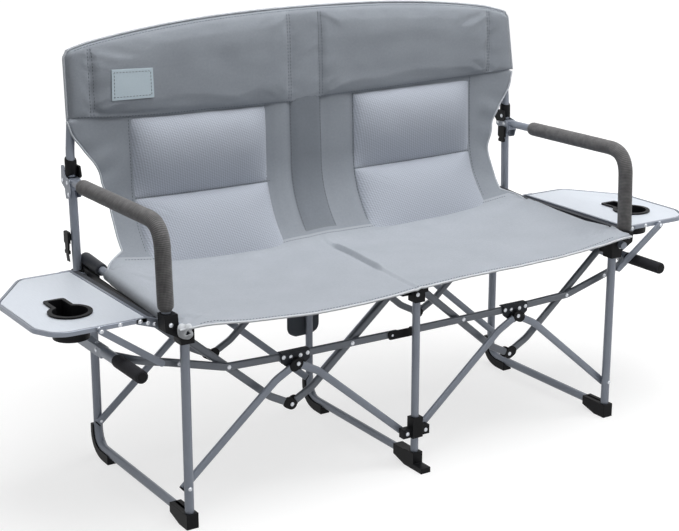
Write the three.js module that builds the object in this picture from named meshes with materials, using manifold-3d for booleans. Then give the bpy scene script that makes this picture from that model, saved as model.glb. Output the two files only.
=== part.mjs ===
import * as THREE from "three";
import { mergeVertices } from "three/addons/utils/BufferGeometryUtils.js";
import Module from "manifold-3d";

const wasm = await Module();
wasm.setup();

// Driving dimensions in millimetres. X runs from seat to seat, Y to the rear, Z up.
const legSpread = 575; // centre leg to side leg
const legDepth = 228; // half the distance between front and rear legs
const legRadius = 10;
const centreLegRadius = 9;
const railHeight = 24; // axis of the floor rails
const railBend = 42; // bend from floor rail to rear leg
const soleHeight = 9; // plastic under the front legs
const footHeight = 46;
const footWall = 4; // plastic beside a tube
const footReach = 66; // the front feet reach back along the floor rails
const heelReach = 56; // the rear feet reach forward along the floor rails
const heelRise = 6; // the rear feet reach this far above the bend of the floor rail
const toeReach = 46; // the centre foot reaches forward of its leg

const upperPivot = 422; // height of the upper links' fixed pivots
const lowerPivot = 88; // height of the lower links' fixed pivots
const pivotInset = 25; // inner pivots of the links beside the centre leg
const linkDrop = 218; // rise or fall of each link from its fixed pivot to its joint
const linkHalfWidth = 8.5;
const linkEnd = 11; // the links reach past their fixed pivots
const kneeRun = 53; // knee of a link beside its joint
const kneeRise = 28; // knee of a link above or below its joint
const kneeBend = 60;
const lowerLinkDepth = 10.5;
const upperLinkDepth = 12;
const barDepth = 12;
const plateDepth = 3.2;
const layerGap = 0.5; // between pieces that slide past each other
const clear = 0.3; // between pieces that touch
const pinRadius = 4;
const bossRadius = 9;
const collarHeight = 36; // collar of the centre leg above its pivots
const capDrop = 24; // caps of the centre legs below and above the upper pivots
const capRise = 8;

const barRise = 14; // bar pins above the lower links' joint
const barPinSpread = 12; // bar pins beside the joint
const barPinRadius = 3.2;
const barBendInset = 110; // the outer bars turn upward this far inside the side legs
const handleOffset = 118; // handle outside the side leg
const handleHeight = 372;
const handleSetback = 116; // where a bar meets its handle, behind the front leg
const handleLength = 182; // handle tube behind that place
const handleRadius = 9;
const gripRadius = 14;
const gripLength = 116;
const gripSetforward = 46; // grip in front of where the bar meets the handle

const legTop = upperPivot + 6;
const rearLegTop = upperPivot + 30;
const bracketWall = 6;
const seatRailRise = 19; // front end of the seat rail above the upper pivots
const seatRailRadius = 9;
const seatRailOutset = 11; // seat rails outside the side legs
const seatSlope = 0.073; // the seat rails climb to the rear
const tableHinge = upperPivot + 25;
const armFoot = upperPivot + 34; // lower end of the arms
const uprightFoot = upperPivot + 40; // lower end of the uprights

const postOutset = 32; // arms and uprights stand outside the legs
const postLean = 0.0375; // how far the back leans per millimetre of height
const hingeHeight = 655; // axis on which the back folds
const hingeSetback = 14; // that axis lies behind the posts
const hingeGap = 11; // the posts end this far from that axis
const lugRadius = 9;
const lugReach = 36; // the lugs run this far along the posts
const lugThickness = 6;
const lugPinRadius = 3.5;
const armHeight = 661; // front of the arms
const armOutset = 6; // front of the arms outside the uprights
const armSocketReach = 37; // socket of the arms below the fold's axis
const armSocketDepth = 16; // the arms go this far into it
const armFootSetback = 2; // lower end of the arms behind the legs
const armLean = 0.044; // the arms lean back per millimetre of height
const armBend = 58;
const armTubeRadius = 9.3;
const foamRadius = 17;
const foamFootGap = 31; // bare tube under the foam
const foamEndGap = 60; // bare tube behind the foam

const tableRise = 21; // table top above its hinge
const tableThickness = 10;
const tableGap = 33; // table beside the arm
const tableWidth = 226;
const tableRearGap = 43; // rear edge of the table in front of the rear legs
const tableLug = 6;
const tableCornerRun = 100; // the rear outer corner is cut off
const tableCornerDepth = 137;
const tableNoseRun = 50; // the front outer corner is cut off twice
const tableNoseDepth = 58;
const tableNoseStep = 22;
const tableRound = 20; // round of the outer corners
const cupOffset = 121; // cup holder from the table's inner edge
const cupSetback = 113.5; // cup holder from the table's front edge
const cupRadius = 37;
const cupDepth = 62;
const cupWall = 3;
const cupLip = 9;
const slotHalfWidth = 16;
const slotLength = 82;
const slotDepth = 33;
const strutOffset = 107; // strut pivot from the table's inner edge
const strutThickness = 7;
const strutHalfWidth = 7;
const strutFootOutset = 43; // lower end of the strut outside the leg

const seatOverhang = 34; // seat cloth in front of the front legs
const seatTuck = 110; // the seat meets the back in front of the rear legs
const seatFlare = 14; // seat cloth past the side legs
const seatCentreRise = 19; // middle of the seat's front edge above the upper pivots
const seatSag = 16;
const clothThickness = 6;
const clothSetforward = 22; // back cloth in front of the posts at the fold
const waistInset = 77; // edge of the back cloth inside the posts
const headerOverhang = 16; // edge of the header outside the posts
const headerBottom = 792;
const headerTop = 1000;
const headerFall = 54; // the top edge falls toward the corners
const headerTaper = 24; // the top corners draw in
const postCover = 33; // cloth above the posts
const padInner = 120; // edges of the raised pads from the middle
const padOuter = 470;
const lowerPadSwell = 14;
const upperPadSwell = 9;

const postX = legSpread + postOutset;
const jointX = (legSpread + pivotInset) / 2;
const upperJoint = upperPivot - linkDrop;
const lowerJoint = lowerPivot + linkDrop;
const seatFront = legDepth + seatOverhang;
const seatRear = legDepth - seatTuck;
const headerHalfWidth = postX + headerOverhang;
const waistHalfWidth = postX - waistInset;

// Layers of the front linkage from the legs inward, as distances from the middle; the rear one mirrors them.
const lowerLayer = layerBehind(legDepth - legRadius, lowerLinkDepth);
const plateLayer = layerBehind(lowerLayer.to, plateDepth);
const barLayer = layerBehind(plateLayer.to, barDepth);
const upperLayer = layerBehind(barLayer.to, upperLinkDepth);
const tableFront = -barLayer.from - layerGap;
const strutLayer = { from: tableFront - layerGap, to: tableFront - layerGap - strutThickness };

function layerBehind(face, depth) {
  return { from: face - layerGap, to: face - layerGap - depth };
}

const group = new THREE.Group();

const paint = new THREE.MeshStandardMaterial({ color: 0x565b66, roughness: 0.42, metalness: 0.5 });
const plastic = new THREE.MeshStandardMaterial({ color: 0x202126, roughness: 0.55, metalness: 0 });
const foam = new THREE.MeshStandardMaterial({ color: 0x55524f, roughness: 0.95, metalness: 0 });
const tableSheet = new THREE.MeshStandardMaterial({ color: 0xb9bcc4, roughness: 0.4, metalness: 0.7 });
const cloth = new THREE.MeshStandardMaterial({ color: 0xa7abb0, roughness: 0.9, metalness: 0 });
const backCloth = new THREE.MeshStandardMaterial({ color: 0x8f908f, roughness: 0.9, metalness: 0 });

function solidOf(geometry) {
  const bare = new THREE.BufferGeometry();
  const flat = geometry.index ? geometry.toNonIndexed() : geometry;
  bare.setAttribute("position", flat.getAttribute("position"));
  const merged = mergeVertices(bare, 1e-3);
  const mesh = new wasm.Mesh({
    numProp: 3,
    vertProperties: new Float32Array(merged.attributes.position.array),
    triVerts: new Uint32Array(merged.index.array),
  });
  return new wasm.Manifold(mesh);
}

function join(...solids) {
  return solids.reduce((whole, next) => whole.add(next));
}

function cut(solid, ...tools) {
  return tools.reduce((rest, tool) => rest.subtract(tool), solid);
}

function mirrored(solid) {
  return solid.mirror([1, 0, 0]);
}

function rearCopy(solid) {
  return solid.mirror([0, 1, 0]);
}

function place(name, solid, material) {
  const data = solid.asOriginal().simplify(0.02).getMesh();
  const geometry = new THREE.BufferGeometry();
  geometry.setAttribute("position", new THREE.BufferAttribute(new Float32Array(data.vertProperties), 3));
  geometry.setIndex(new THREE.BufferAttribute(new Uint32Array(data.triVerts), 1));
  geometry.computeVertexNormals();
  const mesh = new THREE.Mesh(geometry, material);
  mesh.name = name;
  group.add(mesh);
}

function placePair(name, solid, material) {
  place("right_" + name, solid, material);
  place("left_" + name, mirrored(solid), material);
}

// A run of straight stretches with rounded corners, with a ring only where the tube turns.
class BentPath extends THREE.Curve {
  constructor(points) {
    super();
    this.points = points;
  }
  getPoint(t) {
    const along = t * (this.points.length - 1);
    const i = Math.min(Math.floor(along), this.points.length - 2);
    return this.points[i].clone().lerp(this.points[i + 1], along - i);
  }
  getTangentAt(u) {
    const last = this.points.length - 1;
    const i = Math.round(u * last);
    const before = this.points[Math.max(i - 1, 0)];
    const after = this.points[Math.min(i + 1, last)];
    return after.clone().sub(before).normalize();
  }
  getSpacedPoints() {
    return this.points;
  }
}

function roundedRun(corners, bendRadius, turns = 4) {
  const points = corners.map((c) => new THREE.Vector3(...c));
  const run = [points[0]];
  for (let i = 1; i < points.length - 1; i++) {
    const inward = points[i - 1].clone().sub(points[i]).normalize();
    const outward = points[i + 1].clone().sub(points[i]).normalize();
    const reach = bendRadius / Math.tan(inward.angleTo(outward) / 2);
    const start = points[i].clone().addScaledVector(inward, reach);
    const end = points[i].clone().addScaledVector(outward, reach);
    const bend = new THREE.QuadraticBezierCurve3(start, points[i], end);
    run.push(...bend.getPoints(turns));
  }
  run.push(points[points.length - 1]);
  return new BentPath(run);
}

function oval(halfDepth, halfWidth, sides) {
  const outline = [];
  for (let i = 0; i < sides; i++) {
    const angle = ((i + 0.5) / sides) * 2 * Math.PI;
    outline.push(new THREE.Vector2(halfDepth * Math.cos(angle), halfWidth * Math.sin(angle)));
  }
  return new THREE.Shape(outline);
}

// The flattened tube of the links: flat faces front and rear, round edges.
function flatOval(halfDepth, halfWidth) {
  const outline = [];
  const corner = halfDepth * 0.8;
  for (let i = 0; i < 8; i++) {
    const angle = ((i + 0.5) / 8) * 2 * Math.PI;
    const x = Math.cos(angle);
    const y = Math.sin(angle);
    outline.push(new THREE.Vector2(
      Math.sign(x) * (halfDepth - corner) + corner * x,
      Math.sign(y) * (halfWidth - corner) + corner * y,
    ));
  }
  const wide = Math.max(...outline.map((p) => p.x)) / halfDepth;
  const high = Math.max(...outline.map((p) => p.y)) / halfWidth;
  return new THREE.Shape(outline.map((p) => new THREE.Vector2(p.x / wide, p.y / high)));
}

function sweep(path, shape) {
  const options = { steps: path.points.length - 1, bevelEnabled: false, extrudePath: path };
  return solidOf(new THREE.ExtrudeGeometry(shape, options));
}

function tube(corners, radius, bendRadius = railBend, sides = 10) {
  const grown = radius / Math.cos(Math.PI / sides);
  return sweep(roundedRun(corners, bendRadius), oval(grown, grown, sides));
}

function box(x, y, z) {
  const low = [Math.min(...x), Math.min(...y), Math.min(...z)];
  const size = [Math.max(...x) - low[0], Math.max(...y) - low[1], Math.max(...z) - low[2]];
  return wasm.Manifold.cube(size).translate(low);
}

function rodAlongY(x, z, fromY, toY, radius, sides = 8) {
  const rod = wasm.Manifold.cylinder(Math.abs(toY - fromY), radius, radius, sides);
  return rod.rotate([-90, 0, 0]).translate([x, Math.min(fromY, toY), z]);
}

// A bore that clears a pin of that radius at any turn, although both have flat sides.
function boreAlongY(x, z, fromY, toY, radius, sides = 8) {
  return rodAlongY(x, z, fromY, toY, (radius + clear) / Math.cos(Math.PI / sides), sides);
}

function rodAlongX(y, z, fromX, toX, radius, sides = 8) {
  const rod = wasm.Manifold.cylinder(toX - fromX, radius, radius, sides);
  return rod.rotate([0, 90, 0]).translate([fromX, y, z]);
}

function rodAlongZ(x, y, fromZ, toZ, radius, sides = 10) {
  return wasm.Manifold.cylinder(toZ - fromZ, radius, radius, sides).translate([x, y, fromZ]);
}

// A flat piece drawn in the XZ plane, between two depths.
function plateXZ(outline, fromY, toY) {
  const shape = new THREE.Shape(outline.map((p) => new THREE.Vector2(p[0], -p[1])));
  const options = { depth: Math.abs(toY - fromY), bevelEnabled: false };
  const solid = solidOf(new THREE.ExtrudeGeometry(shape, options));
  return solid.rotate([-90, 0, 0]).translate([0, Math.min(fromY, toY), 0]);
}

// A flat piece drawn in the YZ plane, between two sides.
function plateYZ(outline, fromX, toX) {
  const shape = new THREE.Shape(outline.map((p) => new THREE.Vector2(p[0], p[1])));
  const options = { depth: toX - fromX, bevelEnabled: false };
  const solid = solidOf(new THREE.ExtrudeGeometry(shape, options));
  return solid.rotate([90, 0, 90]).translate([fromX, 0, 0]);
}

// A flat piece drawn in the XY plane, between two heights.
function plateXY(outline, fromZ, toZ) {
  const shape = new THREE.Shape(outline.map((p) => new THREE.Vector2(p[0], p[1])));
  const options = { depth: toZ - fromZ, bevelEnabled: false };
  return solidOf(new THREE.ExtrudeGeometry(shape, options)).translate([0, 0, fromZ]);
}

// An outline with its corners from the second to the last but one rounded off.
function roundedOutline(outline, radius, turns = 3) {
  const points = outline.map((p) => new THREE.Vector2(...p));
  const run = [points[0]];
  for (let i = 1; i < points.length - 1; i++) {
    const inward = points[i - 1].clone().sub(points[i]).normalize();
    const outward = points[i + 1].clone().sub(points[i]).normalize();
    const reach = radius / Math.tan(Math.acos(inward.dot(outward)) / 2);
    const start = points[i].clone().addScaledVector(inward, reach);
    const end = points[i].clone().addScaledVector(outward, reach);
    run.push(...new THREE.QuadraticBezierCurve(start, points[i], end).getPoints(turns));
  }
  run.push(points[points.length - 1]);
  return run.map((p) => [p.x, p.y]);
}

function postY(z) {
  return legDepth + (z - uprightFoot) * postLean;
}

function seatRailZ(y) {
  return upperPivot + seatRailRise + (y + seatFront) * seatSlope;
}

// A link of flattened tube: a hole at its fixed pivot, a knee, and a half-thick tongue at its joint.
function link(fixed, joint, layer, tongueInFront) {
  const side = Math.sign(fixed[0] - joint[0]);
  const rise = Math.sign(fixed[1] - joint[1]);
  const knee = [joint[0] + side * kneeRun, joint[1] + rise * kneeRise];
  const along = new THREE.Vector2(fixed[0] - knee[0], fixed[1] - knee[1]).normalize();
  const start = [fixed[0] + along.x * linkEnd, fixed[1] + along.y * linkEnd];
  const toward = (share) => [joint[0] + side * kneeRun * share, joint[1] + rise * kneeRise * share];
  const middle = -(layer.from + layer.to) / 2;
  const halfDepth = (layer.from - layer.to) / 2;
  const corners = [start, knee, toward(0.42)].map((p) => [p[0], middle, p[1]]);
  const arm = sweep(roundedRun(corners, kneeBend, 3), flatOval(halfDepth, linkHalfWidth));
  const front = tongueInFront ? -layer.from + 0.2 : middle + clear / 2;
  const rear = tongueInFront ? middle - clear / 2 : -layer.to - 0.2;
  const across = new THREE.Vector2(-rise * kneeRise, side * kneeRun).normalize().multiplyScalar(linkHalfWidth);
  const tip = toward(0.55);
  const strip = plateXZ([
    [joint[0] + across.x, joint[1] + across.y],
    [tip[0] + across.x, tip[1] + across.y],
    [tip[0] - across.x, tip[1] - across.y],
    [joint[0] - across.x, joint[1] - across.y],
  ], front, rear);
  const eye = rodAlongY(joint[0], joint[1], front, rear, linkHalfWidth + 0.6, 12);
  const bore = boreAlongY(fixed[0], fixed[1], -layer.from - 1, -layer.to + 1, pinRadius);
  return cut(join(arm, strip, eye), bore);
}

const innerUpper = [pivotInset, upperPivot];
const outerUpper = [legSpread, upperPivot];
const innerLower = [pivotInset, lowerPivot];
const outerLower = [legSpread, lowerPivot];
const upperMeet = [jointX, upperJoint];
const lowerMeet = [jointX, lowerJoint];

function addLinks() {
  const jointBore = (meet, layer) => boreAlongY(...meet, -layer.from - 1, -layer.to + 1, pinRadius);
  const upperPin = rodAlongY(...upperMeet, -upperLayer.from, -upperLayer.to, pinRadius);
  const upperInner = join(link(innerUpper, upperMeet, upperLayer, false), upperPin);
  const upperOuter = cut(link(outerUpper, upperMeet, upperLayer, true), jointBore(upperMeet, upperLayer));
  const lowerInnerArm = link(innerLower, lowerMeet, lowerLayer, false);
  const lowerInner = cut(lowerInnerArm, jointBore(lowerMeet, lowerLayer));
  const lowerOuter = cut(link(outerLower, lowerMeet, lowerLayer, true), jointBore(lowerMeet, lowerLayer));
  const rearPin = rodAlongY(...lowerMeet, -lowerLayer.from, -lowerLayer.to, pinRadius);
  const sets = [
    ["upper_inner_link", upperInner, upperInner],
    ["upper_outer_link", upperOuter, upperOuter],
    ["lower_inner_link", lowerInner, join(lowerInnerArm, rearPin)],
    ["lower_outer_link", lowerOuter, lowerOuter],
  ];
  for (const [name, front, rear] of sets) {
    placePair("front_" + name, front, paint);
    placePair("rear_" + name, rearCopy(rear), paint);
  }
}

const barY = -(barLayer.from + barLayer.to) / 2;
const barZ = lowerJoint + barRise;
const handleX = legSpread + handleOffset;
const handleRear = -legDepth + handleSetback;

function addBars() {
  const barSection = flatOval(barDepth / 2, linkHalfWidth);
  const pinBore = (x) => boreAlongY(x, barZ, -barLayer.from - 1, -barLayer.to + 1, barPinRadius);
  const outerPin = jointX + barPinSpread;
  const innerPin = jointX - barPinSpread;
  const pinEnd = linkHalfWidth - 1.5;
  const outerRun = roundedRun([
    [outerPin - pinEnd, barY, barZ],
    [legSpread - barBendInset, barY, barZ + 5],
    [legSpread + 25, barY, handleHeight - 10],
    [handleX - 38, barY + 16, handleHeight - 1],
    [handleX, handleRear - 4, handleHeight],
  ], kneeBend, 3);
  const gripRear = handleRear - gripSetforward;
  const gripFront = gripRear - gripLength;
  const handleEnd = handleRear + handleLength;
  const handleTube = rodAlongY(handleX, handleHeight, gripFront + 10, handleEnd, handleRadius, 10);
  const channel = box(
    [handleX - handleRadius, handleX + handleRadius],
    [handleRear + 14, handleEnd - 30],
    [handleHeight - handleRadius - 4, handleHeight + handleRadius],
  );
  const outerBar = cut(join(sweep(outerRun, barSection), handleTube, channel), pinBore(outerPin));
  placePair("outer_spreader_bar", outerBar, paint);
  const gripBody = rodAlongY(handleX, handleHeight, gripFront, gripRear, gripRadius, 12);
  const boreFront = gripFront + 10 - clear;
  const gripBore = rodAlongY(handleX, handleHeight, boreFront, handleRear, handleRadius + clear, 10);
  placePair("handle_grip", cut(gripBody, gripBore), foam);

  // The inner bars stop beside the centre leg, and the plate on the left one reaches across to the right one.
  const barEnd = pivotInset + 15;
  const innerRun = roundedRun([[innerPin + pinEnd, barY, barZ], [barEnd, barY, barZ - 1]], kneeBend);
  const innerBar = cut(sweep(innerRun, barSection), pinBore(innerPin));
  place("right_inner_spreader_bar", innerBar, paint);
  const plateEnd = barEnd + barPinSpread;
  const hingeZ = [barZ - linkHalfWidth - 1, barZ + linkHalfWidth - 1];
  const hingePlate = box([-plateEnd - 10, plateEnd], [-plateLayer.from, -plateLayer.to], hingeZ);
  const hingeStud = rodAlongY(-plateEnd, barZ - 1, -plateLayer.from + 1, -barLayer.to - 2, barPinRadius);
  place("left_inner_spreader_bar", join(mirrored(innerBar), hingePlate, hingeStud), paint);

  const wing = 3 * barPinSpread;
  const plate = plateXZ([
    [jointX - 14, lowerJoint - 13], [jointX + 14, lowerJoint - 13], [jointX + wing, barZ - 10],
    [jointX + wing, barZ + 11], [jointX - wing, barZ + 11], [jointX - wing, barZ - 10],
  ], -plateLayer.from, -plateLayer.to);
  const meetPin = rodAlongY(...lowerMeet, -lowerLayer.from, -plateLayer.to, pinRadius);
  const barPins = [innerPin, outerPin].map((x) =>
    rodAlongY(x, barZ, -plateLayer.from, -barLayer.to, barPinRadius));
  placePair("bar_hinge_sleeve", join(plate, meetPin, ...barPins), plastic);
}

// The feet and the covers of the floor rails, cut out for the tubes that they hold.
const railTop = railHeight + 13;
const railUnder = railHeight - 12;
const frontFootOutline = [
  [-legDepth - 14, 0], [-legDepth + 22, 0],
  [-legDepth + footReach, railUnder], [-legDepth + footReach, railTop],
  [-legDepth + 30, railTop], [-legDepth + 14, footHeight], [-legDepth - 14, footHeight],
];
const bendY = legDepth - railBend;
const bendZ = railHeight + railBend;
const heelOutside = railBend + legRadius + footWall + 1.5;
const heelInside = railBend - legRadius - footWall + 2.5;
const rearFootOutline = [
  [bendY + heelOutside, bendZ + heelRise], ...bendPoints(heelOutside, [0, -25, -50]),
  [bendY + 28, 0], [bendY - 6, 0],
  [legDepth - heelReach, railUnder], [legDepth - heelReach, railTop],
  ...bendPoints(heelInside, [-90, -60, -30, 0]), [bendY + heelInside, bendZ + heelRise],
];

// Points round the bend of the floor rail, at angles from level.
function bendPoints(radius, angles) {
  return angles.map((degrees) => {
    const angle = THREE.MathUtils.degToRad(degrees);
    return [bendY + radius * Math.cos(angle), bendZ + radius * Math.sin(angle)];
  });
}

const railFront = -legDepth + legRadius + 3;

function rearTube(x, radius, topCorners, front = railFront) {
  return tube([[x, front, railHeight], [x, legDepth, railHeight], ...topCorners], radius);
}

const armEnd = [postX + 4, postY(hingeHeight) - 13.2, hingeHeight];
const armFootY = -legDepth + armFootSetback;

function armCurve(bareFoot, bareEnd, sink = 0) {
  const foot = [postX + armOutset, armFootY + bareFoot * armLean, armFoot + bareFoot - sink];
  const corner = [postX + armOutset, armFootY + (armHeight - armFoot) * armLean, armHeight];
  const away = new THREE.Vector3(...corner).sub(new THREE.Vector3(...armEnd)).normalize();
  const end = new THREE.Vector3(...armEnd).addScaledVector(away, bareEnd);
  return roundedRun([foot, corner, end.toArray()], armBend, 5);
}

function addSideFrame() {
  const legPin = rodAlongY(legSpread, lowerPivot, -legDepth, -lowerLayer.to, pinRadius);
  placePair("front_leg", join(rodAlongZ(legSpread, -legDepth, soleHeight, legTop, legRadius), legPin), paint);
  const rearPin = rodAlongY(legSpread, lowerPivot, legDepth, lowerLayer.to, pinRadius);
  const rearTop = [legSpread, legDepth, rearLegTop];
  placePair("rear_leg", join(rearTube(legSpread, legRadius, [rearTop]), rearPin), paint);
  const legSpace = rodAlongZ(legSpread, -legDepth, soleHeight - clear, legTop + clear, legRadius + clear);
  const rearSpaceTop = [legSpread, legDepth, rearLegTop + clear];
  const rearSpace = rearTube(legSpread, legRadius + clear, [rearSpaceTop], railFront - clear);
  const footSides = [legSpread - legRadius - footWall, legSpread + legRadius + footWall];
  placePair("front_foot", cut(plateYZ(frontFootOutline, ...footSides), legSpace, rearSpace), plastic);
  placePair("rear_foot", cut(plateYZ(rearFootOutline, ...footSides), rearSpace), plastic);

  const bracketDepth = legRadius + bracketWall;
  const railEnds = [-seatFront + 6, legDepth - bracketDepth - 1];
  const railCorners = railEnds.map((y) => [legSpread + seatRailOutset, y, seatRailZ(y)]);
  const railSpace = tube(railCorners, seatRailRadius + clear);
  placePair("seat_rail", tube(railCorners, seatRailRadius), paint);

  const armCore = sweep(armCurve(0, 0), oval(armTubeRadius, armTubeRadius, 10));
  const foamBody = sweep(armCurve(foamFootGap, foamEndGap), oval(foamRadius, foamRadius, 12));
  placePair("armrest", join(armCore, foamBody), foam);
  const armBore = armTubeRadius + clear * 1.2;
  const armSpace = sweep(armCurve(0, 0, clear), oval(armBore, armBore, 10));

  const bracketY = [-legDepth - bracketDepth, -legDepth + bracketDepth];
  const inner = legSpread - legRadius - 5;
  const outer = legSpread + legRadius + 5;
  const frontOutline = [
    [inner, upperPivot - 12], [outer, upperPivot - 12],
    [outer + 2, upperPivot + 3], [postX + 17, tableHinge - 4], [postX + 19, armFoot + 22],
    [postX - 11, armFoot + 22], [postX - 13, armFoot - 5], [inner, legTop + 17],
  ];
  const upperBoss = rodAlongY(legSpread, upperPivot, bracketY[1] - 1, -upperLayer.from - clear, bossRadius, 10);
  const upperPin = rodAlongY(legSpread, upperPivot, bracketY[1], -upperLayer.to, pinRadius);
  const tablePin = rodAlongY(postX + 5, tableHinge, bracketY[1] - 1, tableFront + tableLug + 1.5, pinRadius);
  const frontBlock = join(plateXZ(frontOutline, ...bracketY), upperBoss, upperPin, tablePin);
  placePair("front_bracket", cut(frontBlock, legSpace, railSpace, armSpace), plastic);

  const rearOutline = [
    [inner, upperPivot - 12], [outer, upperPivot - 12],
    [outer + 2, upperPivot + 3], [postX + 17, tableHinge - 9], [postX + 17, uprightFoot + 40],
    [postX - 16, uprightFoot + 40], [inner, rearLegTop + 34],
  ];
  const rearFace = legDepth - bracketDepth;
  const rearBoss = rodAlongY(legSpread, upperPivot, rearFace + 1, upperLayer.from + clear, bossRadius, 10);
  const rearUpperPin = rodAlongY(legSpread, upperPivot, rearFace, upperLayer.to, pinRadius);
  const rearTablePin = rodAlongY(postX + 5, tableHinge, rearFace + 1, tableRear + 4, pinRadius);
  const rearPlate = plateXZ(rearOutline, rearFace, legDepth + bracketDepth);
  const rearBlock = join(rearPlate, rearBoss, rearUpperPin, rearTablePin);
  const uprightTop = hingeHeight - hingeGap;
  const uprightRun = (foot) => [[postX, postY(foot), foot], [postX, postY(uprightTop), uprightTop]];
  const uprightSpace = tube(uprightRun(uprightFoot - clear), legRadius + clear);
  placePair("rear_bracket", cut(rearBlock, rearSpace, uprightSpace), plastic);

  const upright = tube(uprightRun(uprightFoot), legRadius);
  const socketX = [postX - legRadius - 2, armEnd[0] + armTubeRadius + 2.7];
  const socketY = [armEnd[1] - armSocketDepth, postY(uprightTop) - 4];
  const socketZ = [hingeHeight - armSocketReach, hingeHeight + hingeGap - layerGap];
  const armSocket = box(socketX, socketY, socketZ);
  const socketFloor = rodAlongY(armEnd[0], armEnd[2], armEnd[1] - 2, armEnd[1] + clear, armTubeRadius + 0.7);
  placePair("upright", cut(join(upright, lowerLug(postX), armSocket), armSpace, socketFloor), paint);
  placePair("back_post", backPost(postX, legRadius, postTopAt(postX)), paint);
}

// The lugs of the back's fold: one on the lower post with the pin, one on the upper post with the bore.
const lugY = postY(hingeHeight) + hingeSetback;

function lowerLug(x) {
  const sides = [x - lugThickness - 4, x - 4];
  const eye = rodAlongX(lugY, hingeHeight, ...sides, lugRadius, 12);
  const neck = box(sides, [lugY - hingeSetback + 2, lugY + 3], [hingeHeight - lugReach, hingeHeight]);
  return join(eye, neck, rodAlongX(lugY, hingeHeight, sides[0], x + 6, lugPinRadius));
}

function backPost(x, radius, top) {
  const foot = hingeHeight + hingeGap;
  const sides = [x - 3.5, x + 4];
  const post = tube([[x, postY(foot), foot], [x, postY(top), top]], radius);
  const eye = rodAlongX(lugY, hingeHeight, ...sides, lugRadius, 12);
  const neck = box(sides, [lugY - hingeSetback + 2, lugY + 3], [hingeHeight, hingeHeight + lugReach]);
  const bore = rodAlongX(lugY, hingeHeight, x - 12, x + 12, (lugPinRadius + clear) / Math.cos(Math.PI / 8));
  return cut(join(post, eye, neck), bore);
}

function addCentreFrame() {
  const capTop = upperPivot - 4;
  place("centre_front_leg", rodAlongZ(0, -legDepth, soleHeight, capTop, centreLegRadius), paint);
  const uprightTop = hingeHeight - hingeGap;
  const rearCorners = [[0, legDepth, upperPivot + 18], [0, postY(uprightTop), uprightTop]];
  place("centre_rear_leg", join(rearTube(0, centreLegRadius, rearCorners), lowerLug(0)), paint);
  const legSpace = rodAlongZ(0, -legDepth, soleHeight - clear, capTop + clear, centreLegRadius + clear);
  const rearSpace = rearTube(0, centreLegRadius + clear, rearCorners, railFront - clear);
  const half = centreLegRadius + footWall;
  const toe = box([-half, half], [-legDepth - toeReach, -legDepth], [0, 13]);
  const frontFoot = join(plateYZ(frontFootOutline, -half, half), toe);
  place("centre_front_foot", cut(frontFoot, legSpace, rearSpace), plastic);

  const earHalf = pivotInset + 11;
  const ears = (y) => box([-earHalf, earHalf], y, [lowerPivot - 11, lowerPivot + 11]);
  const earPins = (fromY, toY) =>
    [-pivotInset, pivotInset].map((x) => rodAlongY(x, lowerPivot, fromY, toY, pinRadius));
  const earFace = lowerLayer.from + clear;
  const frontEars = ears([-legDepth - 8, -earFace]);
  const collarBody = box(
    [-half - 1, half + 1], [-legDepth - half, -earFace], [lowerPivot - 13, lowerPivot + collarHeight],
  );
  const collar = join(collarBody, frontEars, ...earPins(-legDepth, -lowerLayer.to));
  place("centre_collar", cut(collar, legSpace), plastic);
  const rearSleeve = box([-half, half], [earFace, legDepth + 15], [bendZ - 26, lowerPivot + 20]);
  const rearEars = ears([earFace, legDepth + 8]);
  const heel = plateYZ(rearFootOutline, -half, half);
  const rearFoot = join(heel, rearSleeve, rearEars, ...earPins(legDepth, lowerLayer.to));
  place("centre_rear_foot", cut(rearFoot, rearSpace), plastic);

  const capParts = [];
  const wingHalf = pivotInset + bossRadius + 1;
  for (const end of [-1, 1]) {
    const capY = [end * (legDepth + half + 2), end * (legDepth - half - 1)];
    const wingY = [end * (legDepth - footWall), end * (legDepth - half - 3)];
    capParts.push(box([-half, half], capY, [upperPivot - capDrop, upperPivot + capRise]));
    capParts.push(box([-wingHalf, wingHalf], wingY, [upperPivot - bossRadius - 1, upperPivot + bossRadius]));
    for (const x of [-pivotInset, pivotInset]) {
      const start = end * (legDepth - half - 2);
      capParts.push(rodAlongY(x, upperPivot, start, end * (upperLayer.from + clear), bossRadius, 10));
      capParts.push(rodAlongY(x, upperPivot, start, end * upperLayer.to, pinRadius));
    }
  }
  const seatRail = rodAlongY(0, upperPivot - 1, -legDepth + half + 2, legDepth - half - 2, seatRailRadius, 12);
  place("centre_seat_rail", cut(join(seatRail, ...capParts), legSpace, rearSpace), plastic);
  place("centre_back_post", backPost(0, centreLegRadius, postTopAt(0)), paint);
}

const tableTop = tableHinge + tableRise;
const tableUnder = tableTop - tableThickness;
const tableInner = postX + tableGap;
const tableOuter = tableInner + tableWidth;
const tableRear = legDepth - tableRearGap;
const cupX = tableInner + cupOffset;
const cupY = tableFront + cupSetback;
const strutTop = [tableInner + strutOffset, tableTop - 9];
const strutFoot = [legSpread + strutFootOutset, handleHeight - 5];

function cupShape(grow, top, bottom, slotBottom) {
  const round = wasm.Manifold.cylinder(top - bottom, cupRadius + grow - 2, cupRadius + grow, 20);
  const slotX = [cupX - slotHalfWidth - grow, cupX + slotHalfWidth + grow];
  const slot = box(slotX, [cupY, cupY + slotLength + grow], [slotBottom, top]);
  return join(round.translate([cupX, cupY, bottom]), slot);
}

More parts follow.
